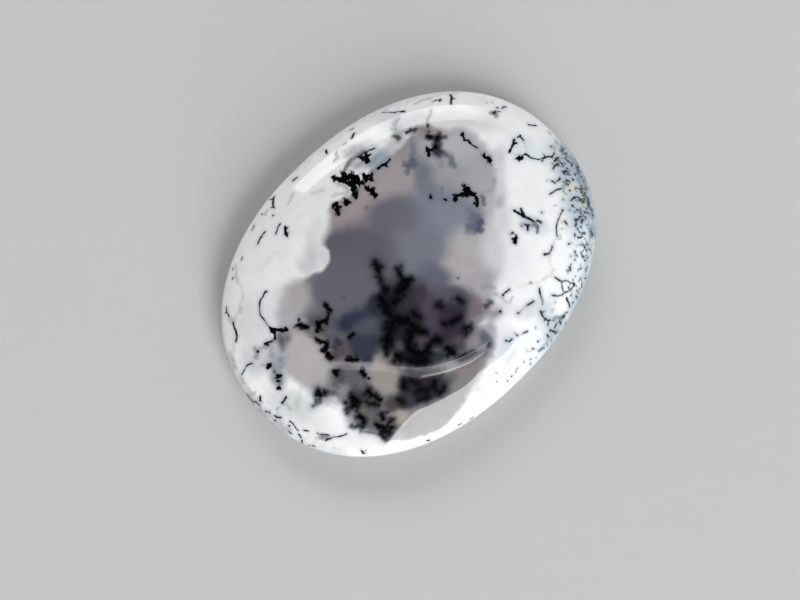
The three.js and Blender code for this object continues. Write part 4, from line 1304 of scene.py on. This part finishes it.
# How wide the stroke is there, once noise has torn its edge.
edge = do_math("MULTIPLY_ADD", torn, allowance, moss_width)
# How far beyond that edge the place is. Inside the moss it is less than zero.
beyond = do_math("SUBTRACT", gap, edge)
inner_edge = do_math("MULTIPLY", moss_soft, INNER_EDGE)
moss_mask = add(
    "ShaderNodeMapRange",
    {"Value": beyond, "From Min": inner_edge, "From Max": moss_soft, "To Min": 1.0, "To Max": 0.0},
    interpolation_type="SMOOTHSTEP",
).outputs["Result"]
print(f"the mask goes over from the vector to the distance at {VECTOR_UP_TO} to {DISTANCE_FROM} mm")

# %% The halo around the moss
# The shares of red, green and blue light that a full halo takes away: least of the blue.
HALO_TAKES = (0.62, 0.55, 0.46)
HALO_REACH = 0.3
HALO_REACH_IF_SOFT = 1.7
HALO_STRENGTH = 0.3
HALO_STRENGTH_IF_SOFT = 0.4

halo_reach = do_math("MULTIPLY_ADD", moss_soft, HALO_REACH_IF_SOFT, HALO_REACH)
halo_share = do_math("MULTIPLY_ADD", moss_soft, HALO_STRENGTH_IF_SOFT, HALO_STRENGTH)
halo = add(
    "ShaderNodeMapRange",
    {"Value": beyond, "From Min": 0.0, "From Max": halo_reach, "To Min": halo_share, "To Max": 0.0},
    interpolation_type="SMOOTHSTEP",
).outputs["Result"]
print(f"the halo reaches {HALO_REACH + HALO_REACH_IF_SOFT * CRISP:.1f} mm around crisp moss")


# %% The colour: milk, halo and moss
def do_vector_math(operation, inputs):
    """One Vector Math node."""
    return add("ShaderNodeVectorMath", inputs, operation=operation).outputs["Vector"]


# Nearly all values of a noise texture lie between these two.
NOISE_LOW, NOISE_HIGH = 0.3, 0.7


def noise_between(noise, lowest, highest):
    """Stretches a noise texture so that it goes from lowest to highest."""
    inputs = {
        "Value": noise,
        "From Min": NOISE_LOW,
        "From Max": NOISE_HIGH,
        "To Min": lowest,
        "To Max": highest,
    }
    return add("ShaderNodeMapRange", inputs).outputs["Result"]


MOTTLE_LUMPS = 1.6
DARKEST_MOTTLE, PALEST_MOTTLE = 0.955, 1.03
MOSS_BLACK = (0.0015, 0.0015, 0.002, 1.0)
WHITE = (1.0, 1.0, 1.0)
# The Mix node has sockets for several kinds of value. These are the numbers of its colour ones.
FACTOR, COLOUR_A, COLOUR_B, COLOUR_OUT = 0, 6, 7, 2

mottle = noise_between(noise_texture(MOTTLE_LUMPS, detail=4.0), DARKEST_MOTTLE, PALEST_MOTTLE)
mottled = do_vector_math("SCALE", {0: stored("ground", "Color"), "Scale": mottle})
halo_loss = do_vector_math("SCALE", {0: HALO_TAKES, "Scale": halo})
halo_keep = do_vector_math("SUBTRACT", {0: WHITE, 1: halo_loss})
haloed = do_vector_math("MULTIPLY", {0: mottled, 1: halo_keep})
colour = add(
    "ShaderNodeMix",
    {FACTOR: moss_mask, COLOUR_A: haloed, COLOUR_B: MOSS_BLACK},
    data_type="RGBA",
).outputs[COLOUR_OUT]
print("the colour takes the milk first, then the halo, then the moss")

# %% Gloss and polish
OPAL_INDEX = 1.45
GLOSS_LUMPS = 5.0
GLOSSIEST, DULLEST = 0.025, 0.05
POLISH_LUMPS = 2.4
POLISH_STRENGTH = 0.12
POLISH_DEPTH = 0.02

roughness = noise_between(noise_texture(GLOSS_LUMPS, detail=2.0), GLOSSIEST, DULLEST)
bumps = {
    "Height": noise_texture(POLISH_LUMPS, detail=1.0),
    "Strength": POLISH_STRENGTH,
    "Distance": POLISH_DEPTH * MM,
}
polish = add("ShaderNodeBump", bumps).outputs["Normal"]
surface = {"Base Color": colour, "Roughness": roughness, "IOR": OPAL_INDEX, "Normal": polish}
principled = add("ShaderNodeBsdfPrincipled", surface)
add("ShaderNodeOutputMaterial", {"Surface": principled.outputs["BSDF"]})
mesh.materials.append(material)
print(f"{len(nodes)} nodes in the opal's material")

# %% Put the opal in its place in the frame
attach(opal, "root")
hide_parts("opal_cabochon")
print("the opal rides on the stone's body")

# %% [markdown]
# ## Floor, light and air
#
# A polished dome shows the room as a small curved picture, so the lamps matter as much as the
# stone. Round lamps would leave round spots, so the lamps are glowing sheets, cut to the shapes
# that the dome has to show. A broad lamp overhead on the right, with a skirt down to the horizon,
# makes the bright lens at the lower right edge. A bent strip with bright edges makes the fine
# double line, and a tall window behind makes the soft band at the upper left, where the wall above
# it glows faintly up to a thin line. Straight overhead it is dark, which keeps the black moss black.

# %% A pale floor
FLOOR_SIZE = 3.0
FLOOR_PALE = tone(199, 199, 198)
FLOOR_ROUGHNESS = 0.8
FLOOR_SHEEN = 0.2

bpy.ops.mesh.primitive_plane_add(size=FLOOR_SIZE, location=(0, 0, 0))
floor = bpy.context.object
floor.name = "floor"
floor_material = bpy.data.materials.new("pale floor")
floor_material.use_nodes = True
floor_shader = floor_material.node_tree.nodes["Principled BSDF"]
floor_shader.inputs["Base Color"].default_value = (*FLOOR_PALE, 1.0)
floor_shader.inputs["Roughness"].default_value = FLOOR_ROUGHNESS
floor_shader.inputs["Specular IOR Level"].default_value = FLOOR_SHEEN
floor.data.materials.append(floor_material)
print("the floor is", FLOOR_SIZE, "m wide")


# %% A glow that changes towards the right
def make_changing_glow():
    """A node group: one glow on the left, another on the right, and a smooth change between."""
    group = bpy.data.node_groups.new("changing glow", "ShaderNodeTree")
    for name in ("Left Glow", "Right Glow", "Left End", "Right End"):
        group.interface.new_socket(name, in_out="INPUT", socket_type="NodeSocketFloat")
    group.interface.new_socket("Glow", in_out="OUTPUT", socket_type="NodeSocketFloat")
    given = group.nodes.new("NodeGroupInput")
    result = group.nodes.new("NodeGroupOutput")
    where = group.nodes.new("ShaderNodeTexCoord")
    along = group.nodes.new("ShaderNodeVectorMath")
    along.operation = "DOT_PRODUCT"
    along.inputs[1].default_value = PICTURE_RIGHT
    change = group.nodes.new("ShaderNodeMapRange")
    change.interpolation_type = "SMOOTHSTEP"
    group.links.new(where.outputs["Object"], along.inputs[0])
    group.links.new(along.outputs["Value"], change.inputs["Value"])
    group.links.new(given.outputs["Left End"], change.inputs["From Min"])
    group.links.new(given.outputs["Right End"], change.inputs["From Max"])
    group.links.new(given.outputs["Left Glow"], change.inputs["To Min"])
    group.links.new(given.outputs["Right Glow"], change.inputs["To Max"])
    group.links.new(change.outputs["Result"], result.inputs["Glow"])
    return group


CHANGING_GLOW = make_changing_glow()
print(f"the glow group has {len(CHANGING_GLOW.nodes)} nodes")


# %% Glowing sheets
def glow_material(name, glow, right_glow, between):
    """A material that only glows. With a right glow, it changes to that one between two places."""
    material = bpy.data.materials.new(name)
    material.use_nodes = True
    tree = material.node_tree
    tree.nodes.clear()
    emission = tree.nodes.new("ShaderNodeEmission")
    if right_glow is None:
        emission.inputs["Strength"].default_value = glow
    else:
        changing = tree.nodes.new("ShaderNodeGroup")
        changing.node_tree = CHANGING_GLOW
        changing.inputs["Left Glow"].default_value = glow
        changing.inputs["Right Glow"].default_value = right_glow
        changing.inputs["Left End"].default_value = between[0]
        changing.inputs["Right End"].default_value = between[1]
        tree.links.new(changing.outputs["Glow"], emission.inputs["Color"])
    out = tree.nodes.new("ShaderNodeOutputMaterial")
    tree.links.new(emission.outputs[0], out.inputs["Surface"])
    return material


def sheet(name, corners, glow, right_glow=None, between=None):
    """A glowing sheet between corners given as right, away and up, in metres."""
    places = [PICTURE_RIGHT * right + PICTURE_AWAY * away + (0, 0, up) for right, away, up in corners]
    data = bpy.data.meshes.new(name)
    data.from_pydata([list(place) for place in places], [], [range(len(places))])
    data.materials.append(glow_material(name, glow, right_glow, between))
    thing = bpy.data.objects.new(name, data)
    bpy.context.scene.collection.objects.link(thing)
    print(f"{name}: {len(corners)} corners")


# %% The broad lamp
LAMP_HEIGHT = 1.0
LAMP_NEAR_END = -3.4
LAMP_GLOW = 9.0


def overhead(points, height=LAMP_HEIGHT):
    """Points given as right and away, hung at a height."""
    return [(right, away, height) for right, away in points]


BROAD_LAMP = [
    (0.46, LAMP_NEAR_END), (0.27, -1.42), (0.25, -1.0), (0.26, -0.77), (0.28, -0.69), (0.34, -0.69),
    (0.45, -0.68), (0.59, -0.655), (0.615, -0.59), (0.61, -0.54), (0.7, -0.57), (0.78, -0.56),
    (0.86, -0.47), (1.15, -1.1), (2.2, LAMP_NEAR_END),
]
sheet("broad lamp", overhead(BROAD_LAMP), glow=LAMP_GLOW)

# %% The bent strip and its bright edges
STRIP_FAR_EDGE = [
    (-0.26, -0.150), (-0.076, -0.154), (0.048, -0.204), (0.139, -0.244), (0.233, -0.270),
    (0.326, -0.279), (0.424, -0.281), (0.47, -0.270),
]
STRIP_NEAR_EDGE = [
    (0.518, -0.353), (0.437, -0.368), (0.322, -0.356), (0.17, -0.319), (0.02, -0.227),
    (-0.06, -0.194), (-0.26, -0.187),
]
BRIGHT_LINE = [
    (0.165, -0.303), (0.322, -0.340), (0.437, -0.353), (0.505, -0.345), (0.518, -0.353),
    (0.437, -0.368), (0.322, -0.356), (0.17, -0.319),
]
LINE_WIDTH = 0.007
IN_FRONT = 0.01


def line_along(edge, width):
    """A narrow outline that follows an edge, width wide."""
    return edge + [(right, along - width) for right, along in reversed(edge)]


def just_below(points):
    """Points that hang a little lower than the strip, so that the stone sees them in front of it."""
    return overhead(points, LAMP_HEIGHT - IN_FRONT)


far_line = line_along(STRIP_FAR_EDGE[2:], LINE_WIDTH)
far_line_left = line_along(STRIP_FAR_EDGE[:3], LINE_WIDTH)
near_line = line_along(STRIP_NEAR_EDGE[3:], -LINE_WIDTH)
bent_strip = overhead(STRIP_FAR_EDGE + STRIP_NEAR_EDGE)
sheet("bent strip", bent_strip, glow=1.5, right_glow=2.6, between=(0.25, 0.42))
sheet("bright line", just_below(BRIGHT_LINE), glow=9.0)
sheet("far line", just_below(far_line), glow=5.5)
sheet("far line left", just_below(far_line_left), glow=3.0)
sheet("near line", just_below(near_line), glow=3.0)

# %% The upright sheets: the lamp's skirt, the window and the wall
WINDOW_AWAY = 1.0
LAMP_SKIRT = [(0.46, 0.01), (2.2, 0.01), (2.2, LAMP_HEIGHT), (0.46, LAMP_HEIGHT)]
WINDOW_BEHIND = [(-0.9, 0.36), (0.32, 0.4), (0.34, 0.81), (-0.18, 0.81), (-0.35, 0.86), (-0.85, 0.9)]
WALL_TOP = [
    (-0.418, 0.939), (-0.32, 1.002), (-0.222, 1.031), (-0.126, 1.031), (-0.058, 1.017),
    (0.028, 0.986), (0.126, 0.933), (0.24, 0.87), (0.36, 0.81),
]
WALL_BEHIND = WALL_TOP + [(-0.18, 0.81), (-0.35, 0.86)]


def upright(points, away):
    """Points given as right and up, on a wall that stands so far away."""
    return [(right, away, up) for right, up in points]


window_behind = upright(WINDOW_BEHIND, WINDOW_AWAY)
wall_behind = upright(WALL_BEHIND, WINDOW_AWAY)
wall_line = upright(line_along(WALL_TOP, LINE_WIDTH), WINDOW_AWAY - IN_FRONT)
sheet("lamp skirt", upright(LAMP_SKIRT, LAMP_NEAR_END), glow=LAMP_GLOW)
sheet("window behind", window_behind, glow=5.7, right_glow=0.0, between=(0.1, 0.36))
sheet("wall behind", wall_behind, glow=1.5, right_glow=0.0, between=(0.0, 0.3))
sheet("wall line", wall_line, glow=4.5, right_glow=0.0, between=(0.1, 0.3))

# %% Air: pale around, dark overhead
# A direction's height goes from 0 at the horizon to 1 straight overhead.
PALE_UP_TO = 0.45
DARK_FROM = 0.78
PALE, DARK = 0.68, 0.03

world = bpy.data.worlds.new("studio")
bpy.context.scene.world = world
world.use_nodes = True
sky = world.node_tree
sky.nodes.clear()
direction = sky.nodes.new("ShaderNodeTexCoord")
parts = sky.nodes.new("ShaderNodeSeparateXYZ")
fade = sky.nodes.new("ShaderNodeMapRange")
fade.interpolation_type = "SMOOTHSTEP"
fade.inputs["From Min"].default_value = PALE_UP_TO
fade.inputs["From Max"].default_value = DARK_FROM
fade.inputs["To Min"].default_value = PALE
fade.inputs["To Max"].default_value = DARK
background = sky.nodes.new("ShaderNodeBackground")
sky_out = sky.nodes.new("ShaderNodeOutputWorld")
sky.links.new(direction.outputs["Generated"], parts.inputs[0])
sky.links.new(parts.outputs["Z"], fade.inputs["Value"])
sky.links.new(fade.outputs["Result"], background.inputs["Strength"])
sky.links.new(background.outputs[0], sky_out.inputs["Surface"])
bpy.context.scene.view_settings.view_transform = "Standard"
print("the air goes from", PALE, "at the horizon to", DARK, "overhead")
